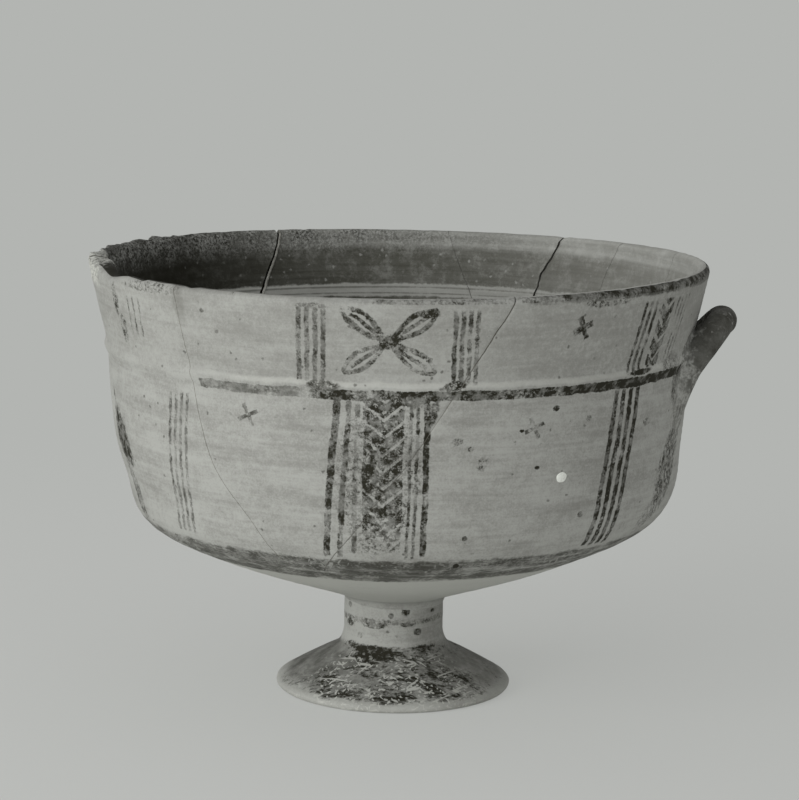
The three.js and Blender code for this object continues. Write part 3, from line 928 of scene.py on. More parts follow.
@group
def four_leaves(g, angle, height, middle, mid_height, half_width, half_height, swell, line):
    """Mask of four slim leaves set crosswise, each drawn with an outline and a midrib."""
    x = abs((angle - middle) * MM_PER_DEGREE)
    y = abs(height - mid_height)
    reach_squared = half_width * half_width + half_height * half_height
    along = (x * half_width + y * half_height) / reach_squared
    across = x * half_height - y * half_width
    aside = abs(across) / g.maths("SQRT", reach_squared)
    outer_half = g.maths("POWER", g.most(along, 0.0), LEAF_SWELL_POWER)
    edge = g.maths("SINE", outer_half * math.pi) * swell
    outline = g.stroke(line * 0.5 - abs(aside - edge))
    midrib = g.rise(line * 0.5 - aside, -0.05, 0.5) * g.rise(along, *MIDRIB_END)
    return {"mask": g.most(outline, midrib) * g.rise(along, *LEAF_END)}


CROSS_SLANT = math.radians(24)


@group
def cross_mark(g, angle, height, middle, mid_height, size, line):
    """Mask of a small slanted cross of two brush strokes."""
    x = (angle - middle) * MM_PER_DEGREE
    y = height - mid_height
    first = abs(x * math.cos(CROSS_SLANT) + y * math.sin(CROSS_SLANT))
    second = abs(y * math.cos(CROSS_SLANT) - x * math.sin(CROSS_SLANT))
    drawn = g.stroke(line * 0.5 - g.maths("MINIMUM", first, second), soft=0.3)
    return {"mask": drawn * g.stroke(size * 0.5 - g.most(first, second))}


@group
def smear(g, angle, height, middle, mid_height, lean, half_width, half_height):
    """Mask of one soft oval smear or stain that may lean."""
    y = height - mid_height
    across = (angle - middle - lean * y) * MM_PER_DEGREE / half_width
    along = y / half_height
    reach = g.maths("SQRT", across * across + along * along)
    return {"mask": g.rise(reach, 1.05, 0.55)}


CHEVRON_SLOPE = 0.85


@group
def chevrons(g, angle, height, middle, mid_height, lean, half_width, pitch, share, low, high):
    """Mask of a leaning column of chevrons that point down."""
    spread = abs((angle - middle - lean * (height - mid_height)) * MM_PER_DEGREE)
    step = (height - spread * CHEVRON_SLOPE) / pitch
    off_middle = abs(g.maths("FRACT", step) - 0.5)
    drawn = g.stroke((share * 0.5 - off_middle) * pitch)
    window = g.use("band", at=height, low=low, high=high, soft=1.5)
    return {"mask": drawn * g.stroke(half_width - spread) * window["mask"]}


@group
def worn_paint(g, drawn, patch, grain, place):
    """Paint that is left of a drawn mask: flaked in patches, rubbed in grains, and thin in places."""
    patches = g.cloud(place, patch, detail=3.0, roughness=0.6)
    grains = g.cloud(place, grain, detail=3.0, roughness=0.7)
    flaking = (patches * 0.55 + grains * 0.45 - 0.5) * 3.0 + 0.5
    return {"mask": g.rise(drawn - flaking, -0.24, 0.36) * g.rise(drawn, 0.0, 0.3)}


@group
def thrown_clay(g, place, streaks, specks):
    """Surface of thrown, slipped clay: tone from stained to pale, dark specks, and height for a fine bump."""
    mottle = g.cloud(g.scaled(place, (0.5, 0.5, 1.5)), 0.06, detail=4.0, roughness=0.6) * 1.05 - 0.03
    combed = g.cloud(g.scaled(place, (0.035, 0.035, 1.0)), 0.55, detail=3.0, roughness=0.6)
    freckles = g.cloud(place, 0.34, detail=3.0, roughness=0.7)
    grain = g.cloud(place, 1.3, detail=2.0, roughness=0.7)
    stained = (freckles - 0.5) * 0.55 + (grain - 0.5) * 0.6
    tone = g.rise(mottle + (combed - 0.5) * streaks + stained, 0.1, 0.8)
    distance, chance = g.cells(place, 0.2)
    tuft = g.cloud(place, 0.9, detail=1.0)
    spot = g.rise(distance + (tuft - 0.5) * 0.3, 0.17, 0.05)
    speck = spot * g.rise(chance, 1.0 - specks, 1.1 - specks)
    pits = g.rise(g.cells(place, 0.42)[0], 0.16, 0.05)
    height = combed * 0.35 + grain * 0.35 - (pits * 0.2 + speck * 0.3)
    return {"tone": tone, "speck": speck, "height": height}


# Directions in which the scratches run, in radians about the axis, and how they are drawn out.
SCRATCH_TURNS = (0.55, -0.8, 1.4)
SCRATCH_STRETCH = (0.07, 0.8, 0.8)


@group
def scratches(g, place, amount):
    """Mask of short, thin pale scratches across painted clay, in a few directions."""
    marks = []
    for turn in SCRATCH_TURNS:
        inputs = {"Vector": place, "Rotation": (0.3 * turn, 0.2 * turn, turn)}
        turned = g.level(g.node("ShaderNodeVectorRotate", inputs, rotation_type="EULER_XYZ"))
        marks.append(g.rise(g.cloud(g.scaled(turned, SCRATCH_STRETCH), 1.0, detail=0.0), 0.66, 0.72))
    patchy = g.rise(g.cloud(place, 0.1, detail=2.0), 1.0 - amount, 1.12 - amount)
    return {"mask": g.most(*marks) * patchy}


class Finish(Bench):
    """A clay material: places on the bowl, clay surface, and calls for each kind of painted mark."""

    def __init__(self, name, roughness=0.86, streaks=0.5, specks=0.3):
        material = bpy.data.materials.new(name)
        material.use_nodes = True
        super().__init__(material.node_tree)
        self.material = material
        self.shader = self.tree.nodes["Principled BSDF"].inputs
        self.shader["Specular IOR Level"].default_value = 0.1
        self.rough_level = roughness
        where = self.use("bowl_places")
        self.angle, self.height, self.place = where["angle"], where["height"], where["place"]
        self.clay = self.use("thrown_clay", place=self.place, streaks=streaks, specks=specks)
        self.cover, self.depth = 0.0, 0.0
        wander = self.cloud(self.place, 0.09, detail=1.0) - 0.5
        shake = self.cloud(self.place, 0.6, detail=2.0) - 0.5
        self.hand_angle = self.angle + (wander * 0.7 + shake * 0.55)
        self.hand_height = self.height + (wander * 1.6 + shake * 1.2)

    def band(self, low, high, soft=0.8, hand=True):
        at = self.hand_height if hand else self.height
        return self.use("band", at=at, low=low, high=high, soft=soft)["mask"]

    def sector(self, low, high, soft):
        return self.use("band", at=self.hand_angle, low=low, high=high, soft=soft)["mask"]

    def drawn(self, group, **sizes):
        return self.use(group, angle=self.hand_angle, height=self.hand_height, **sizes)["mask"]

    def scratches(self, amount):
        return self.use("scratches", place=self.place, amount=amount)["mask"]

    def lay(self, mask, left, thick):
        """Lays one painted mark: how much of it is left, and how thick its paint is."""
        self.cover = self.most(self.cover, mask * left)
        self.depth = self.most(self.depth, mask * thick)

    def lay_all(self, kind, names, rows):
        """Lays one kind of mark at each row of places and sizes."""
        for left, thick, *sizes in rows:
            self.lay(self.drawn(kind, **dict(zip(names, sizes))), left, thick)

    def worn(self, drawn, patch=0.16, grain=0.95, place=None):
        where = self.place if place is None else place
        return self.use("worn_paint", drawn=drawn, patch=patch, grain=grain, place=where)["mask"]

    def laid_paint(self, wear, **scales):
        """The marks laid since the last call, worn, and of uneven thickness."""
        kept = self.worn(self.cover * wear, **scales)
        pooled = self.rise(self.cloud(self.place, 0.22, detail=4.0, roughness=0.68), 0.33, 0.67)
        thickness = self.depth * (0.52 + pooled * 0.8)
        self.cover, self.depth = 0.0, 0.0
        return self.maths("MULTIPLY", kept, thickness, clamp=True)

    def brushed_band(self, drawn):
        """Paint of a broad band: brushed on in level streaks, and worn in patches."""
        along = self.worn(drawn, patch=0.5, grain=1.2, place=self.scaled(self.place, (0.12, 0.12, 1.0)))
        patches = self.worn(drawn, patch=0.13, grain=0.7)
        return (along * 0.4 + patches * 0.6) * 0.86

    def from_axis(self):
        """Level distance from the bowl's axis."""
        return self.vectors("LENGTH", self.scaled(self.place, (1.0, 1.0, 0.0)), output="Value")

    def painted(self, paint, colour, dark, specks=0.6):
        """A colour under paint of a dark colour, with some of the clay's specks in that colour too."""
        return self.blend(self.most(paint, self.clay["speck"] * specks), colour, dark)

    def finish(self, colour, paint=0.0, bump_distance=0.00022, extra_height=0.0):
        """Sets the shader from a colour, how much paint lies on it, and the clay's own height."""
        grain = (self.clay["tone"] - 0.5) * 0.1
        inputs = {"Height": self.clay["height"] + extra_height, "Distance": bump_distance, "Strength": 0.8}
        self.feed(self.shader["Base Color"], colour)
        self.feed(self.shader["Roughness"], self.rough_level + (grain - paint * 0.12))
        self.feed(self.shader["Normal"], self.level(self.node("ShaderNodeBump", inputs), "Normal"))
        return self.material


def slip_tone(f, looks):
    """Pale slip, stained in places, with each sherd a little different."""
    own = f.node("ShaderNodeAttribute", attribute_type="GEOMETRY", attribute_name="sherd_tone")
    tone = f.maths("ADD", f.clay["tone"], f.level(own, "Fac"), clamp=True)
    return f.blend(tone, looks.slip_stain, looks.slip)


# Painted ornament. Each row starts with how much of the mark is left and how thick its paint is.
# Sets of lines: then middle, mid height, lean, pitch, count, line, low and high, in degrees and millimetres.
FRONT_LINES = {
    "upper, left of the leaves": (0.7, 0.76, -15.3, 163, 0.03, 3.1, 4, 2.15, 147, 178.5),
    "upper, right of the leaves": (0.68, 0.8, 11.55, 163, -0.013, 2.75, 4, 2.0, 147, 178),
    "upper right": (0.78, 0.92, 49.2, 160, 0.073, 3.5, 3, 2.1, 146.5, 177),
    "upper right, faint": (0.52, 0.7, 60.8, 160, 0.09, 3.0, 4, 1.6, 149, 177),
    "upper left": (0.66, 0.7, -55.4, 168, 0.02, 4.2, 3, 1.3, 157, 175),
    "lower left": (0.66, 0.66, -45.3, 128, 0.055, 3.3, 4, 1.9, 80, 140),
    "column, left edge": (0.68, 0.9, -12.3, 112, 0.048, 6, 1, 3.1, 78, 144),
    "column, second": (0.7, 0.9, -9.85, 112, 0.04, 6, 1, 2.5, 78, 143),
    "column, third": (0.6, 0.72, -7.7, 112, 0.02, 6, 1, 2.3, 80, 142),
    "column, right": (0.66, 0.92, 2.85, 113, 0.01, 2.6, 2, 1.6, 78, 144),
    "column, right edge": (0.76, 1, 5.2, 113, 0.004, 6, 1, 2.7, 79, 145),
    "lower right": (0.82, 0.98, 46.25, 115, 0.055, 4.5, 4, 2.9, 78, 143),
}
LINE_SIZES = ("middle", "mid_height", "lean", "pitch", "count", "line", "low", "high")
# Small crosses: then middle, mid height, size and line.
FRONT_CROSSES = [
    (0.76, 0.95, 33.6, 168.2, 10, 2.8),
    (0.62, 0.72, -28.3, 133.3, 10, 1.7),
    (0.62, 0.8, 25.5, 130.2, 10, 2.0),
]
CROSS_SIZES = ("middle", "mid_height", "size", "line")
# Smears, stains, and two dark spots that are painted shade of pits: then middle, mid height, lean, half width
# and half height.
FRONT_SMEARS = {
    "left edge": (0.8, 1, -70.4, 112.5, -0.2, 12, 16),
    "left edge, above": (0.5, 0.8, -74, 128, -0.1, 2.6, 6),
    "left edge, below": (0.62, 0.75, -68.6, 89, -0.14, 7, 19),
    "under the handle": (0.62, 0.85, 67.5, 104, 0.16, 15, 27),
    "under the handle, below": (0.5, 0.7, 61, 86, 0.2, 9, 9),
    "scribble, above": (0.5, 1.1, -62.4, 171, 0.05, 3.4, 9),
    "scribble, below": (0.5, 1.1, -61, 159.6, 0.05, 3.8, 8),
    "round the handle's root": (0.68, 0.8, 69, 137, 0.05, 12, 14),
    "by the handle's root": (0.6, 0.62, 63, 148, 0, 14, 5),
    "dirt on the column": (0.47, 0.75, -3.4, 112, 0.03, 25, 42),
    "dark side of the column": (0.84, 1, -5, 112, 0.03, 4, 10),
    "low in the column": (0.8, 0.95, -0.6, 96, 0.05, 3.4, 6),
    "top of the column": (0.76, 0.95, 2.4, 142, 0, 9, 3.4),
    "edge of the column, above": (0.72, 0.9, 6.4, 137.5, 0.1, 2.6, 7),
    "heart of the leaves": (0.74, 1.1, -1.6, 164.8, 0.2, 5.4, 4.2),
    "heart of the leaves, above": (0.86, 1, -0.3, 168.2, 0.35, 1.6, 4.6),
    "upper right leaf": (0.74, 0.9, 5, 175.6, 0, 5, 2.4),
    "foot of the left lines": (0.8, 0.85, -13.6, 147.2, 0, 9, 2.8),
    "foot of the right lines": (0.7, 1.05, 9.8, 147.6, 0.6, 6.4, 2.8),
    "top of the left lines": (0.62, 0.75, -14.8, 177.8, 0, 8.5, 1.5),
    "foot of the upper right lines": (0.98, 1.1, 50.6, 147.7, 0.5, 10, 1.6),
    "lip, left": (0.46, 0.85, -49, 178.8, 0, 24, 3),
    "block, above": (0.78, 1, 56, 168.4, 0.07, 3, 5),
    "block, below": (0.78, 1, 54.6, 155, 0.07, 2.6, 4),
    "lip, drips": (0.5, 0.9, 38.6, 177.4, 0, 16, 2.4),
    "stain, 1": (0.95, 1.2, 30, 137.4, 0, 2, 1.5),
    "stain, 2": (0.62, 0.9, 37.4, 131.9, 0, 1.9, 1.8),
    "stain, 3": (0.56, 1, 10.9, 126.3, 0.2, 3.2, 2),
    "stain, 4": (0.66, 1, 13.4, 123.2, 0, 1.7, 1.3),
    "stain, 5": (0.5, 1, 15.7, 117.2, 0.1, 3.2, 4),
    "stain, 6": (0.9, 0.8, 26.7, 114.6, 0, 1.4, 1.2),
    "stain, 7": (0.84, 0.7, 37.6, 93.7, 0, 1.9, 1.8),
    "stain, 8": (0.95, 0.9, 13.2, 87.8, 0, 1.7, 1.4),
    "stain, 9": (1.1, 1.1, 22.9, 129.2, 0, 1.2, 1),
    "stain, 10": (0.6, 0.95, 54.6, 126.6, 0, 3.4, 2.4),
    "stain, 11": (0.84, 0.7, -33.5, 164.9, 0, 1.2, 1),
    "stain, 12": (0.84, 0.7, -36.2, 172.6, 0, 1.4, 1.2),
    # The pits: dark spots with no hollow in the wall under them, painted shade of the pits.
    "pit, right": (1.6, 2, 12.5, 75.6, 0, 1.8, 1.5),
    "pit, left": (1.6, 2, -21.6, 68.1, 0, 1.8, 1.5),
}
SMEAR_SIZES = ("middle", "mid_height", "lean", "half_width", "half_height")
STAIN_GRAIN = {"patch": 0.55, "grain": 1.5}
LEAVES = {"mid_height": 164.8, "half_width": 17.5, "half_height": 12.4, "swell": 3.1, "line": 2.3}
# Columns of chevrons: middle, lean, pitch and the dark share of each pitch, between two heights.
COLUMN_SIZES = ("middle", "mid_height", "lean", "half_width", "pitch", "share", "low", "high")
FRONT_COLUMN = dict(zip(COLUMN_SIZES, (-2.7, 112, 0.01, 8.1, 6.71, 0.88, 81, 144)))
FRONT_BLOCK = dict(zip(COLUMN_SIZES, (55, 160, 0.07, 4.8, 6.6, 0.76, 148, 177)))
REAR_COLUMN = dict(zip(COLUMN_SIZES, (180, 115, 0, 6.6, 5.2, 0.8, 80, 144)))
LIP_STAIN = dict(zip(SMEAR_SIZES, (-41.6, 177, -0.03, 3.4, 13)))
# Bands and thin lines round the bowl, the angles between which they set in, and how much of the base band
# is left at the rear and below.
LIP_BAND = {"low": 177.2, "high": 184, "soft": 1.6}
LIP_BAND_START = (10, 34)
LIP_LINE = {"low": 178.6, "high": 183, "hand": False}
LIP_LINE_START = (-22, 4)
REAR_LIP_LINE = {"low": 176.3, "high": 182, "hand": False}
RIDGE_BAND = {"low": 141.4, "high": 146.4}
RIDGE_START = (-39.4, -38.7)
RIDGE_THIN_END = (-13, -20)
RIDGE_THICK_END = (22, 34)
# The ridge's crest: a pale strip painted along it, partly wear and partly painted highlight where the crest
# catches the light.
RIDGE_CREST = {"low": 146.3, "high": 149.6, "soft": 1.2}
BASE_BAND = {"low": 63.5, "high": 79.5, "soft": 2.4}
BASE_LEFT = 0.72
# How low the crumbled rim reaches on each face, and the pale crust's lower edge, middle and reach in degrees.
RIM_OUTSIDE = {"low": 174, "crust_low": 172.0, "crust_middle": 186.0, "crust_reach": 12.0}
RIM_INSIDE = {"low": 167, "crust_low": 175.0, "crust_middle": 185.0, "crust_reach": 10.0}
CRUMBLE_START = (135, 206)
CRUMBLE_END = (292, 280)
CRUMBLE_TOP = 192


def damaged_rim(f, looks, colour, low, crust_low, crust_middle, crust_reach):
    """A colour under the crumbs of the damaged rim and the pale crust at their end, and their height."""
    around = f.maths("WRAP", f.angle, 360.0, 0.0)
    grit = f.cloud(f.place, 0.85, detail=4.0, roughness=0.8)
    patchy = f.rise(f.cloud(f.place, 0.13, detail=3.0), 0.36, 0.6)
    crumbs = f.blend(f.rise(grit, 0.38, 0.64), looks.thick_paint, looks.slip)
    edge = f.band(low, CRUMBLE_TOP, soft=RIM_HEIGHT - low) * (0.4 + patchy * 0.6)
    crumbled = edge * (f.rise(around, *CRUMBLE_START) * f.rise(around, *CRUMBLE_END))
    from_crust = abs(around - (crust_middle + 90.0))
    ragged = (f.cloud(f.place, 0.28, detail=4.0, roughness=0.7) - 0.5) * 18.0
    aside = f.rise(crust_reach - from_crust + ragged, -2.0, 2.0)
    above = f.rise(f.height + ragged * 0.4, crust_low, crust_low + 4.0)
    crust = aside * above * f.rise(grit, 0.36, 0.52)
    worn = f.blend(crust, f.blend(crumbled, colour, crumbs), looks.crust)
    return worn, f.most(crumbled * 0.7, crust) * grit


def painted_front(looks):
    """Outside of the three front sherds with their painted ornament."""
    f = Finish("painted_front", specks=0.46)
    dirty = f.rise(f.cloud(f.place, 0.45, detail=5.0, roughness=0.75), 0.36, 0.66)
    upper = f.rise(f.height, 145, 150) * (0.1 + dirty * (0.3 + f.rise(f.angle, 10, 40) * 0.4))
    slip = f.blend(upper, slip_tone(f, looks), looks.slip_stain)
    # Pale strip on the ridge's crest, faint at the left and stronger from the front on: partly wear, partly
    # painted highlight of the crest in the light.
    rubbed = 0.06 + f.rise(f.angle, -42, -24) * 0.26
    crested = f.blend(f.band(**RIDGE_CREST) * rubbed, slip, looks.pale_slip)
    colour = f.blend(f.drawn("smear", **LIP_STAIN) * 0.24, crested, looks.glue)
    f.lay_all("upright_lines", LINE_SIZES, FRONT_LINES.values())
    f.lay_all("cross_mark", CROSS_SIZES, FRONT_CROSSES)
    f.lay(f.drawn("four_leaves", middle=-1.7, **LEAVES), 0.66, 0.92)
    f.lay(f.band(**LIP_BAND) * f.rise(f.angle, *LIP_BAND_START), 0.84, 0.66)
    f.lay(f.band(**LIP_LINE) * f.rise(f.angle, *LIP_LINE_START), 0.5, 0.85)
    ridge = f.band(**RIDGE_BAND) * f.rise(f.angle, *RIDGE_START)
    thin_end, thick_end = f.rise(f.angle, *RIDGE_THIN_END), f.rise(f.angle, *RIDGE_THICK_END)
    f.lay(ridge * thin_end, 0.85, 0.58)
    f.lay(ridge * (1.0 - thin_end), 0.78, 1)
    f.lay(ridge * thick_end, 1.05, 1.15)
    marks = f.laid_paint(looks.wear)
    f.lay_all("smear", SMEAR_SIZES, FRONT_SMEARS.values())
    rubbed_low = 0.7 + f.rise(f.height, 82, 98) * 0.3
    f.lay(f.drawn("chevrons", **FRONT_COLUMN) * rubbed_low, 0.74, 1)
    f.lay(f.drawn("chevrons", **FRONT_BLOCK), 0.72, 0.92)
    stains = f.laid_paint(looks.wear, **STAIN_GRAIN)
    fuller = f.rise(f.angle, -44, -8) - f.rise(f.angle, 2, 24) * 0.8
    base = f.brushed_band(f.band(**BASE_BAND) * (0.58 + fuller * 0.14))
    paint = f.most(marks, stains, base * (1.0 - f.scratches(0.5) * 0.6))
    whole, lumps = damaged_rim(f, looks, f.painted(paint, colour, looks.paint), **RIM_OUTSIDE)
    return f.finish(whole, paint, extra_height=lumps)


REAR_LINES = {
    "upper, left of the leaves": (0.72, 0.66, 164, 163, 0, 3.2, 4, 1.8, 148.6, 177),
    "upper, right of the leaves": (0.72, 0.66, 196, 163, 0, 3.2, 4, 1.8, 148.6, 177),
    "column, left": (0.7, 0.74, 172.5, 115, 0, 3.6, 4, 2.1, 79, 141.5),
    "column, right": (0.7, 0.74, 187.5, 115, 0, 3.6, 4, 2.1, 79, 141.5),
    "lower right": (0.7, 0.66, 140, 115, 0.04, 3.8, 4, 2.1, 79, 141.5),
    "lower left": (0.7, 0.66, 222, 115, -0.04, 3.8, 4, 2.1, 79, 141.5),
}


def painted_rear(looks):
    """Outside of the five rear sherds, where the front's ornament is carried on."""
    f = Finish("painted_rear", specks=0.25)
    colour = slip_tone(f, looks)
    f.hand_angle = f.maths("WRAP", f.hand_angle, 360.0, 0.0)
    f.lay_all("upright_lines", LINE_SIZES, REAR_LINES.values())
    f.lay(f.drawn("four_leaves", middle=180, **LEAVES), 0.68, 0.72)
    f.lay(f.drawn("chevrons", **REAR_COLUMN), 0.7, 0.85)
    f.lay(f.band(**REAR_LIP_LINE), 0.55, 0.75)
    f.lay(f.band(**RIDGE_BAND), 0.74, 0.84)
    paint = f.most(f.laid_paint(looks.wear), f.brushed_band(f.band(**BASE_BAND) * BASE_LEFT))
    whole, lumps = damaged_rim(f, looks, f.painted(paint, colour, looks.paint), **RIM_OUTSIDE)
    return f.finish(whole, paint, extra_height=lumps)


# Inside: the reserved band, the two thin lines in it, and where the dark paint thins below the rim.
RESERVED_BAND = {"low": 150.6, "high": 157.4, "soft": 1.2}
RESERVED_LINES = [(154.6, 156.0), (152.0, 153.2)]
THIN_RIM = {"low": 171.5, "high": 190, "soft": 4}


def painted_inside(looks):
    """Inside of the bowl: dark paint that thins from left to right, with painted shade darkening the left and
    painted light paling the right, and a reserved band with thin lines on slip painted paler as painted light.
    """
    f = Finish("painted_inside", streaks=1.3, specks=0.85)
    # Painted light and shade as well as uneven paint: the inside coat is darkest at the shaded left and palest
    # at the lit right.
    from_right = abs(f.maths("WRAP", f.angle - 90.0, 180.0, -180.0))
    out = f.rise(f.from_axis(), 10, 95)
    to_rear = 0.7 + out * (f.rise(from_right, 14, 94) - 0.7)
    to_left = 0.3 + out * (f.rise(from_right, 84, 150) - 0.3)
    coat = f.blend(to_left, f.blend(to_rear, looks.rubbed_paint, looks.inside_paint), looks.thick_paint)
    rim = f.band(**THIN_RIM) * (0.62 - to_left * 0.62)
    lines = f.most(*[f.band(low, high, soft=0.5, hand=False) for low, high in RESERVED_LINES])
    reserved = f.band(**RESERVED_BAND) * (1.0 - lines * 0.6)
    streaked = f.clay["tone"] * (0.24 - (to_rear * 0.1 + to_left * 0.12))
    patchy = f.rise(f.cloud(f.place, 0.13, detail=6.0, roughness=0.78), 0.46, 0.66)
    thinned = streaked + patchy * (0.32 - to_left * 0.28)
    paint = f.maths("SUBTRACT", 1.0 - f.most(rim, reserved), thinned, clamp=True)
    dusty = f.blend(f.clay["speck"] * (0.75 - to_left * 0.5), coat, looks.slip)
    # Painted light: the bare slip inside is painted paler than the slip outside, to stand in for more light
    # falling there.
    bare = f.blend(0.4, slip_tone(f, looks), looks.pale_slip)
    whole, lumps = damaged_rim(f, looks, f.blend(paint, bare, dusty), **RIM_INSIDE)
    return f.finish(whole, paint, extra_height=lumps)


def broken_clay(looks):
    """Raw clay in the breaks, gritty."""
    f = Finish("broken_clay", roughness=0.95)
    grit = f.rise(f.cells(f.place, 1.1)[0], 0.4, 0.15)
    colour = f.blend(f.clay["tone"], looks.raw_clay, looks.slip_stain)
    return f.finish(colour, extra_height=grit, bump_distance=0.0006)


def painted_floor(looks):
    """Underside of the bowl: plain slip below the base band, painted paler as painted light bounced up from the
    floor.
    """
    f = Finish("painted_underside", specks=0.08)
    paint = f.brushed_band(f.band(**BASE_BAND) * BASE_LEFT)
    # Painted light: the underside's slip is blended paler to stand in for light bounced up from the floor.
    pale = f.blend(0.38, slip_tone(f, looks), looks.pale_slip)
    return f.finish(f.painted(paint, pale, looks.paint, specks=0.4), paint)


# Stains on the stem, laid out as the smears of the front are.
STEM_SMEARS = {
    "upper left": (0.62, 0.7, -62, 36.6, 0, 12, 1.6),
    "upper middle": (0.9, 0.85, -5, 34.4, 0, 10, 1.5),
    "upper right": (0.86, 1, 12, 36.4, 0, 15, 3.2),
    "far right": (0.84, 1, 50, 35.2, 0, 12, 1.3),
    "lower left": (0.78, 0.95, -62, 29.4, 0, 22, 2.4),
    "lower middle": (0.72, 0.9, -24, 29.8, 0, 44, 2),
    "lower right": (0.8, 0.85, 14, 30.4, 0, 26, 1.5),
    "below, left": (0.6, 0.6, -44, 24.6, 0, 12, 1.8),
    "below, right": (0.86, 0.8, 27, 27, 0, 15, 2.2),
}
# Dark band on the stem, thick patches and thin wash on the foot, and the front of the foot in degrees.
STEM_BAND = {"low": 29.4, "high": 33.4, "soft": 1.2}
FOOT_PATCHES = {"low": 2.6, "high": 22.4, "soft": 2.2}
FOOT_WASH = {"low": 4.2, "high": 21.6, "soft": 3}
FOOT_FRONT = {"low": -82, "high": 72, "soft": 44}


def painted_foot(looks):
    """Stem and foot: pale stained stem, darker towards the right as painted shade, and a thin wash on the foot
    with thick dark paint in front.
    """
    f = Finish("painted_foot", specks=0.5)
    to_right = f.maths("SINE", f.maths("RADIANS", f.angle))
    # Painted shade: the slip of stem and foot is darkened towards the right, the side away from the light.
    paler = 0.3 - f.rise(to_right, 0.0, 0.76) * 0.75
    colour = f.blend(f.maths("ADD", f.clay["tone"], paler, clamp=True), looks.slip_stain, looks.slip)
    f.lay_all("smear", SMEAR_SIZES, STEM_SMEARS.values())
    f.lay(f.band(**STEM_BAND), 0.54, 0.75)
    stem_marks = f.laid_paint(looks.wear, **STAIN_GRAIN)
    front = f.sector(**FOOT_FRONT)
    thick = 0.28 + (front * 0.26 + front * f.rise(f.height, 13, 18) * 0.17)
    swept = f.scaled(f.place, (0.36, 0.8, 1.0))
    patches = f.worn(f.band(**FOOT_PATCHES) * thick, patch=0.15, grain=0.9, place=swept) * 1.06
    cloudy = f.rise(f.cloud(f.place, 0.14, detail=5.0, roughness=0.66), 0.3, 0.7)
    sideways = 0.08 - to_right * 0.05 + f.rise(to_right, -0.26, -0.86) * 0.24
    wash = f.band(**FOOT_WASH) * (cloudy * 0.4 + sideways)
    flare = front * f.rise(f.height, 20, 15)
    scratched = f.scratches(0.62) * flare
    paint = f.most(f.most(patches, wash) * (1.0 - scratched * 0.88), stem_marks)
    pale = f.blend(f.most(scratched * 0.6, f.rise(f.height, 6, 3) * 0.2), colour, looks.pale_slip)
    return f.finish(f.painted(paint, pale, looks.paint), paint)


def painted_handle(looks):
    """Handle and its roots: dark paint, mottled where it runs out on to the wall."""
    f = Finish("painted_handle", specks=0.1)
    colour = f.blend(f.clay["tone"], looks.slip_stain, looks.slip)
    on_bar = f.rise(f.from_axis(), 121.5, 130)
    mottled = 0.5 + f.cloud(f.place, 0.16, detail=4.0, roughness=0.65) * 0.72
    paint = f.worn(0.54 + on_bar * 0.44, patch=0.14, grain=0.6) * (mottled * (0.7 + on_bar * 0.24))
    return f.finish(f.blend(paint, colour, looks.paint), paint)


def plain_finish(name, darker, paler, bump_distance=0.00022, **surface):
    """A finish without paint, whose colour follows the clay's tone."""
    f = Finish(name, **surface)
    return f.finish(f.blend(f.clay["tone"], darker, paler), bump_distance=bump_distance)


class FOOTEDBOWL_OT_wall_sherds(bpy.types.Operator):
    """Builds the eight wall sherds with their painted outside, inside and broken edges"""

    bl_idname = "footed_bowl.wall_sherds"
    bl_label = "Wall Sherds"

    def execute(self, context):
        sizes, looks = context.scene.bowl_sizes, context.scene.bowl_finish
        front, rear = painted_front(looks), painted_rear(looks)
        inside, broken = painted_inside(looks), broken_clay(looks)
        for name, start, stop, tone in WALL_SHERDS:
            loops = wall_sherd(sizes, start, stop)
            finishes = [front if name in FRONT_SHERDS else rear, inside, broken]
            half = loops.shape[1] // 2
            ring = [OUTSIDE] * (half - 1) + [BROKEN] + [INSIDE] * half
            node = "wall_sherd_" + name
            piece = loft_piece("sherd_" + name, loops, finishes, node, "slipped_ware", ring=ring, cap=BROKEN)
            if name == PLUGGED_SHERD:
                cut_hole(piece, sizes)
            give_tone(piece, tone)
        return {"FINISHED"}


class FOOTEDBOWL_OT_floor_sherd(bpy.types.Operator):
    """Builds the floor sherd, the shallow cone that the stem carries"""

    bl_idname = "footed_bowl.floor_sherd"
    bl_label = "Floor Sherd"

    def execute(self, context):
        sizes, looks = context.scene.bowl_sizes, context.scene.bowl_finish
        azimuth = full_turn()
        top = floor_break(azimuth, -FLOOR_BREAK_WIDTH / 2)
        heights = SEAT_HEIGHT + (top - SEAT_HEIGHT) * np.linspace(1, 0, FLOOR_ROWS)
        outer = thrown_wall(sizes, azimuth, heights, 0.0)
        inner = thrown_wall(sizes, azimuth, heights, 1.0)
        middle = np.stack([AXIS_GAP * np.cos(np.radians(azimuth)), azimuth * 0, azimuth * 0], -1)
        under = middle + [0, 0, SEAT_HEIGHT]
        above = middle + [0, 0, SEAT_HEIGHT + FLOOR_THICKNESS]
        loops = np.concatenate([outer, under, above, inner[:, ::-1]], axis=1)
        half = loops.shape[1] // 2
        ring = [OUTSIDE] * half + [INSIDE] * (half - 1) + [BROKEN]
        shared = [bpy.data.materials[name] for name in ("painted_inside", "broken_clay")]
        finishes = [painted_floor(looks), *shared]
        node = "floor_sherd"
        piece = loft_piece("sherd_floor", loops, finishes, node, "slipped_ware", joined=True, ring=ring)
        give_tone(piece, FLOOR_TONE)
        return {"FINISHED"}


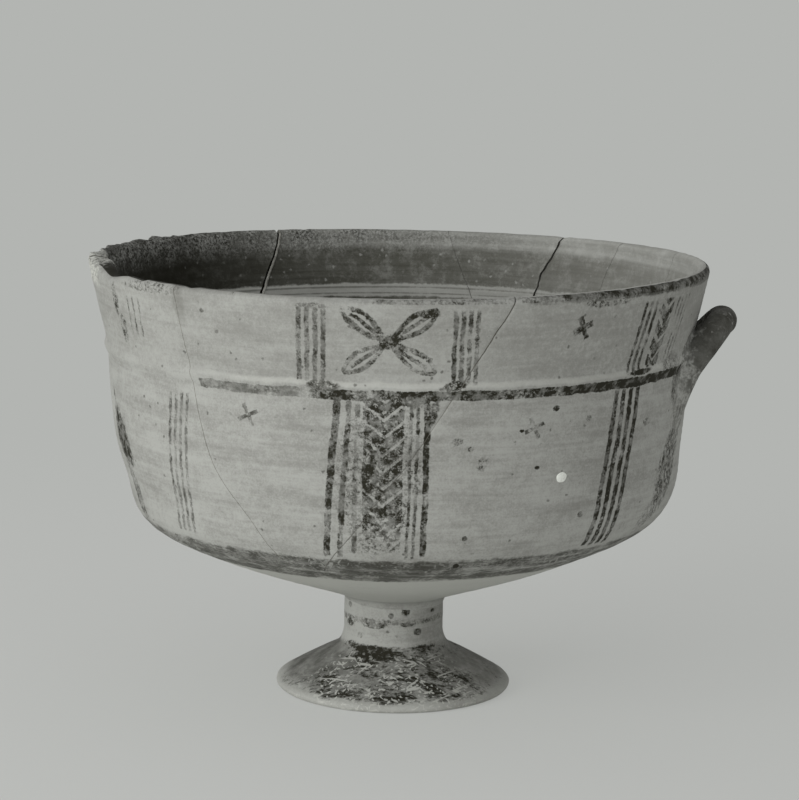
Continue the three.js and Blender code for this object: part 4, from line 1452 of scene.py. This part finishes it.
class FOOTEDBOWL_OT_glue(bpy.types.Operator):
    """Fills the breaks with old glue, a little below the faces"""

    bl_idname = "footed_bowl.glue"
    bl_label = "Glue"

    def execute(self, context):
        sizes, looks = context.scene.bowl_sizes, context.scene.bowl_finish
        dull = plain_finish("old_glue", looks.glue, looks.raw_clay, roughness=0.7)
        pale = plain_finish("pale_filler", looks.raw_clay, looks.pale_fill, roughness=0.9)
        # Painted shade: the deep open half of the widest break gets a dark finish for the shadow in the gap.
        dark = plain_finish("dark_gap", looks.thick_paint, looks.paint, roughness=0.95)
        for name in BREAK_LOOKS:
            loops = glue_seam(sizes, name)
            node = "glue_" + name
            if name == OPEN_BREAK:
                loft_piece("seam_" + name, loops, [pale, dark], node, "mending_glue", ring=GAP_RING)
            else:
                loft_piece("seam_" + name, loops, [dull], node, "mending_glue")
        azimuth = full_turn()
        offsets = FLOOR_GLUE_SIDES * FLOOR_BREAK_WIDTH
        loops = wall_points(sizes, azimuth, floor_break(azimuth, offsets), FLOOR_GLUE_DEPTHS)
        loft_piece("seam_floor", loops, [dull], "glue_floor", "mending_glue", joined=True)
        return {"FINISHED"}


class FOOTEDBOWL_OT_pedestal(bpy.types.Operator):
    """Builds the stem and flared foot, and the luting that joins the stem to the bowl"""

    bl_idname = "footed_bowl.pedestal"
    bl_label = "Stem And Foot"

    def execute(self, context):
        looks = context.scene.bowl_finish
        profile, painted = pedestal_profile()
        bare = plain_finish("bare_clay", looks.slip_stain, looks.slip, specks=0.15)
        loops = turned_piece(profile, stray=0.16, seed=1) + [PEDESTAL_OFFSET, 0, 0]
        finishes = [painted_foot(looks), bare]
        ring = [0] * painted + [1] * (len(profile) - painted)
        loft_piece("stem_and_foot", loops, finishes, "pedestal_foot", "painted_foot", joined=True, ring=ring)
        loops = turned_piece(luting_profile(), stray=0.05, seed=2) + [PEDESTAL_OFFSET / 2, 0, 0]
        loft_piece("stem_luting", loops, [bare], "foot_luting", "clay_luting", joined=True)
        return {"FINISHED"}


class FOOTEDBOWL_OT_handle(bpy.types.Operator):
    """Builds the handle's loop and the clay smoothed round its two roots"""

    bl_idname = "footed_bowl.handle"
    bl_label = "Handle"

    def execute(self, context):
        sizes, looks = context.scene.bowl_sizes, context.scene.bowl_finish
        finish = painted_handle(looks)
        rings, path = handle_bar(sizes)
        lumps = 0.05 * rough(rings, 11, seed=30) + 0.02 * rough(rings, 3, seed=31)
        lumpy = rings + (rings - path[:, None]) * lumps[..., None]
        buried = wall_distance(sizes, lumpy) < HANDLE_GAP
        lumpy = np.where(buried[..., None], on_wall(sizes, lumpy, HANDLE_GAP), lumpy)
        keep = np.flatnonzero(~buried.all(axis=1))
        lumpy = lumpy[max(keep[0] - 1, 0):keep[-1] + 2]
        loft_piece("handle_bar", lumpy, [finish], "handle_loop", "painted_handle", sharp=70)
        for side, near in (("near", True), ("far", False)):
            loops = collar_sections(sizes, rings, path, near)
            node = "handle_collar_" + side
            loft_piece("handle_root_" + side, loops, [finish], node, "painted_handle", joined=True, sharp=80)
        return {"FINISHED"}


class FOOTEDBOWL_OT_plaster_plug(bpy.types.Operator):
    """Builds the small plaster plug in the right wall"""

    bl_idname = "footed_bowl.plaster_plug"
    bl_label = "Plaster Plug"

    def execute(self, context):
        sizes, looks = context.scene.bowl_sizes, context.scene.bowl_finish
        surface = {"bump_distance": 0.0002, "roughness": 0.92, "streaks": 0.2}
        plaster = plain_finish("white_plaster", looks.pale_slip, looks.plaster, **surface)
        loft_piece("plug", wall_pin(sizes, PLUG_RINGS), [plaster], "plaster_plug", "plaster", sharp=70)
        return {"FINISHED"}


class FOOTEDBOWL_OT_stage(bpy.types.Operator):
    """Makes the floor, the light and the camera"""

    bl_idname = "footed_bowl.stage"
    bl_label = "Floor, Light And Camera"

    def execute(self, context):
        scene, stage = context.scene, context.scene.bowl_stage
        scene.view_settings.view_transform = "Standard"
        make_floor(scene, stage)
        make_light(scene, stage)
        make_camera(scene)
        return {"FINISHED"}


FLOOR_REACH = 40
FLOOR_EVENNESS = 0.7
PLAIN_FLOOR_NEAR = 0.2
PLAIN_FLOOR_FAR = 0.7
SEEN_RAYS = ("Is Camera Ray", "Is Glossy Ray", "Is Transmission Ray")


def make_floor(scene, stage):
    """A wide plain floor that takes a faint shadow of the bowl near by and is an even tone far off."""
    mesh = bpy.data.meshes.new("floor")
    corners = [(x * FLOOR_REACH, y * FLOOR_REACH, 0) for x, y in ((-1, -1), (1, -1), (1, 1), (-1, 1))]
    mesh.from_pydata(corners, [], [(0, 1, 2, 3)])
    floor = bpy.data.objects.new("floor", mesh)
    scene.collection.objects.link(floor)
    material = bpy.data.materials.new("pale_floor")
    material.use_nodes = True
    b = Bench(material.node_tree)
    shader = b.tree.nodes["Principled BSDF"]
    surface = {"Base Color": (*stage.floor, 1), "Roughness": 0.95, "Specular IOR Level": 0.0}
    for name, value in surface.items():
        b.feed(shader.inputs[name], value)
    even = b.node("ShaderNodeEmission", {"Color": (*stage.far_floor, 1)})
    place = b.level(b.node("ShaderNodeNewGeometry"), "Position")
    far = b.rise(b.vectors("LENGTH", place, output="Value"), PLAIN_FLOOR_NEAR, PLAIN_FLOOR_FAR)
    evened = FLOOR_EVENNESS + far * (1 - FLOOR_EVENNESS)
    rays = b.node("ShaderNodeLightPath")
    seen = b.most(*[b.level(rays, name) for name in SEEN_RAYS])
    mixed = b.node("ShaderNodeMixShader", {0: evened * seen, 1: b.level(shader), 2: b.level(even)})
    b.feed(b.tree.nodes["Material Output"].inputs["Surface"], b.level(mixed))
    mesh.materials.append(material)
    floor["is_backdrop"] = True


LAMP_AIM = (0, 0, 0.1)
KEY_PLACE = (-1.05, -0.85, 0.42)
KEY_SIZE = 0.9
FILL_PLACE = (0.5, -1.35, 0.16)
FILL_SIZE = 0.9


def soft_lamp(scene, name, power, place, width):
    """A round soft lamp that faces the bowl."""
    lamp = bpy.data.lights.new(name, "AREA")
    lamp.shape = "DISK"
    lamp.size = width
    lamp.energy = power
    holder = bpy.data.objects.new(name, lamp)
    holder.location = place
    holder.rotation_euler = (Vector(LAMP_AIM) - Vector(place)).to_track_quat("-Z", "Y").to_euler()
    scene.collection.objects.link(holder)


def make_light(scene, stage):
    """An even sky, a large soft lamp at the front left, and a weak one at the front right."""
    world = bpy.data.worlds.new("studio")
    world.use_nodes = True
    background = world.node_tree.nodes["Background"]
    background.inputs["Color"].default_value = (1, 1, 1, 1)
    background.inputs["Strength"].default_value = stage.sky
    scene.world = world
    soft_lamp(scene, "key", stage.key, KEY_PLACE, KEY_SIZE)
    soft_lamp(scene, "fill", stage.fill, FILL_PLACE, FILL_SIZE)


def make_camera(scene):
    """A long lens, level with the front, looking a little down."""
    pitch, roll = math.radians(CAMERA_PITCH), math.radians(CAMERA_ROLL)
    ahead = Vector((0, math.cos(pitch), -math.sin(pitch)))
    level = Vector((1, 0, 0))
    raised = level.cross(ahead)
    right = math.cos(roll) * level + math.sin(roll) * raised
    up = -math.sin(roll) * level + math.cos(roll) * raised
    lens = bpy.data.cameras.new("camera")
    lens.sensor_width = SENSOR_WIDTH
    lens.lens = CAMERA_FOCAL_PIXELS * SENSOR_WIDTH / FRAME_PIXELS
    camera = bpy.data.objects.new("camera", lens)
    turn = Matrix((right, up, -ahead)).transposed().to_4x4()
    place = Vector(CAMERA_PLACE) * MM + Vector((AXIS_X, AXIS_Y, 0))
    camera.matrix_world = Matrix.Translation(place) @ turn
    scene.collection.objects.link(camera)
    scene.camera = camera


BUILD_STEPS = (
    FOOTEDBOWL_OT_wall_sherds,
    FOOTEDBOWL_OT_floor_sherd,
    FOOTEDBOWL_OT_glue,
    FOOTEDBOWL_OT_pedestal,
    FOOTEDBOWL_OT_handle,
    FOOTEDBOWL_OT_plaster_plug,
    FOOTEDBOWL_OT_stage,
)


class FOOTEDBOWL_PT_panel(bpy.types.Panel):
    """Lists the sizes, the colours and the steps of the bowl"""

    bl_idname = "FOOTEDBOWL_PT_panel"
    bl_label = "Footed Bowl"
    bl_space_type = "VIEW_3D"
    bl_region_type = "UI"
    bl_category = "Footed Bowl"

    def draw(self, context):
        for settings in (context.scene.bowl_sizes, context.scene.bowl_finish, context.scene.bowl_stage):
            box = self.layout.box()
            for name in settings.__annotations__:
                box.prop(settings, name)
        for step in BUILD_STEPS:
            self.layout.operator(step.bl_idname)


CLASSES = (BowlSizes, BowlFinish, BowlStage, *BUILD_STEPS, FOOTEDBOWL_PT_panel)


def register():
    for part in CLASSES:
        bpy.utils.register_class(part)
    bpy.types.Scene.bowl_sizes = PointerProperty(type=BowlSizes)
    bpy.types.Scene.bowl_finish = PointerProperty(type=BowlFinish)
    bpy.types.Scene.bowl_stage = PointerProperty(type=BowlStage)


def unregister():
    del bpy.types.Scene.bowl_stage
    del bpy.types.Scene.bowl_finish
    del bpy.types.Scene.bowl_sizes
    for part in reversed(CLASSES):
        bpy.utils.unregister_class(part)


def main():
    register()
    for step in BUILD_STEPS:
        family, name = step.bl_idname.split(".")
        getattr(getattr(bpy.ops, family), name)()
    boxes = {"cad": [list(corner) for corner in cad_box], "visual": [list(corner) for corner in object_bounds()]}


if __name__ == "__main__":
    main()
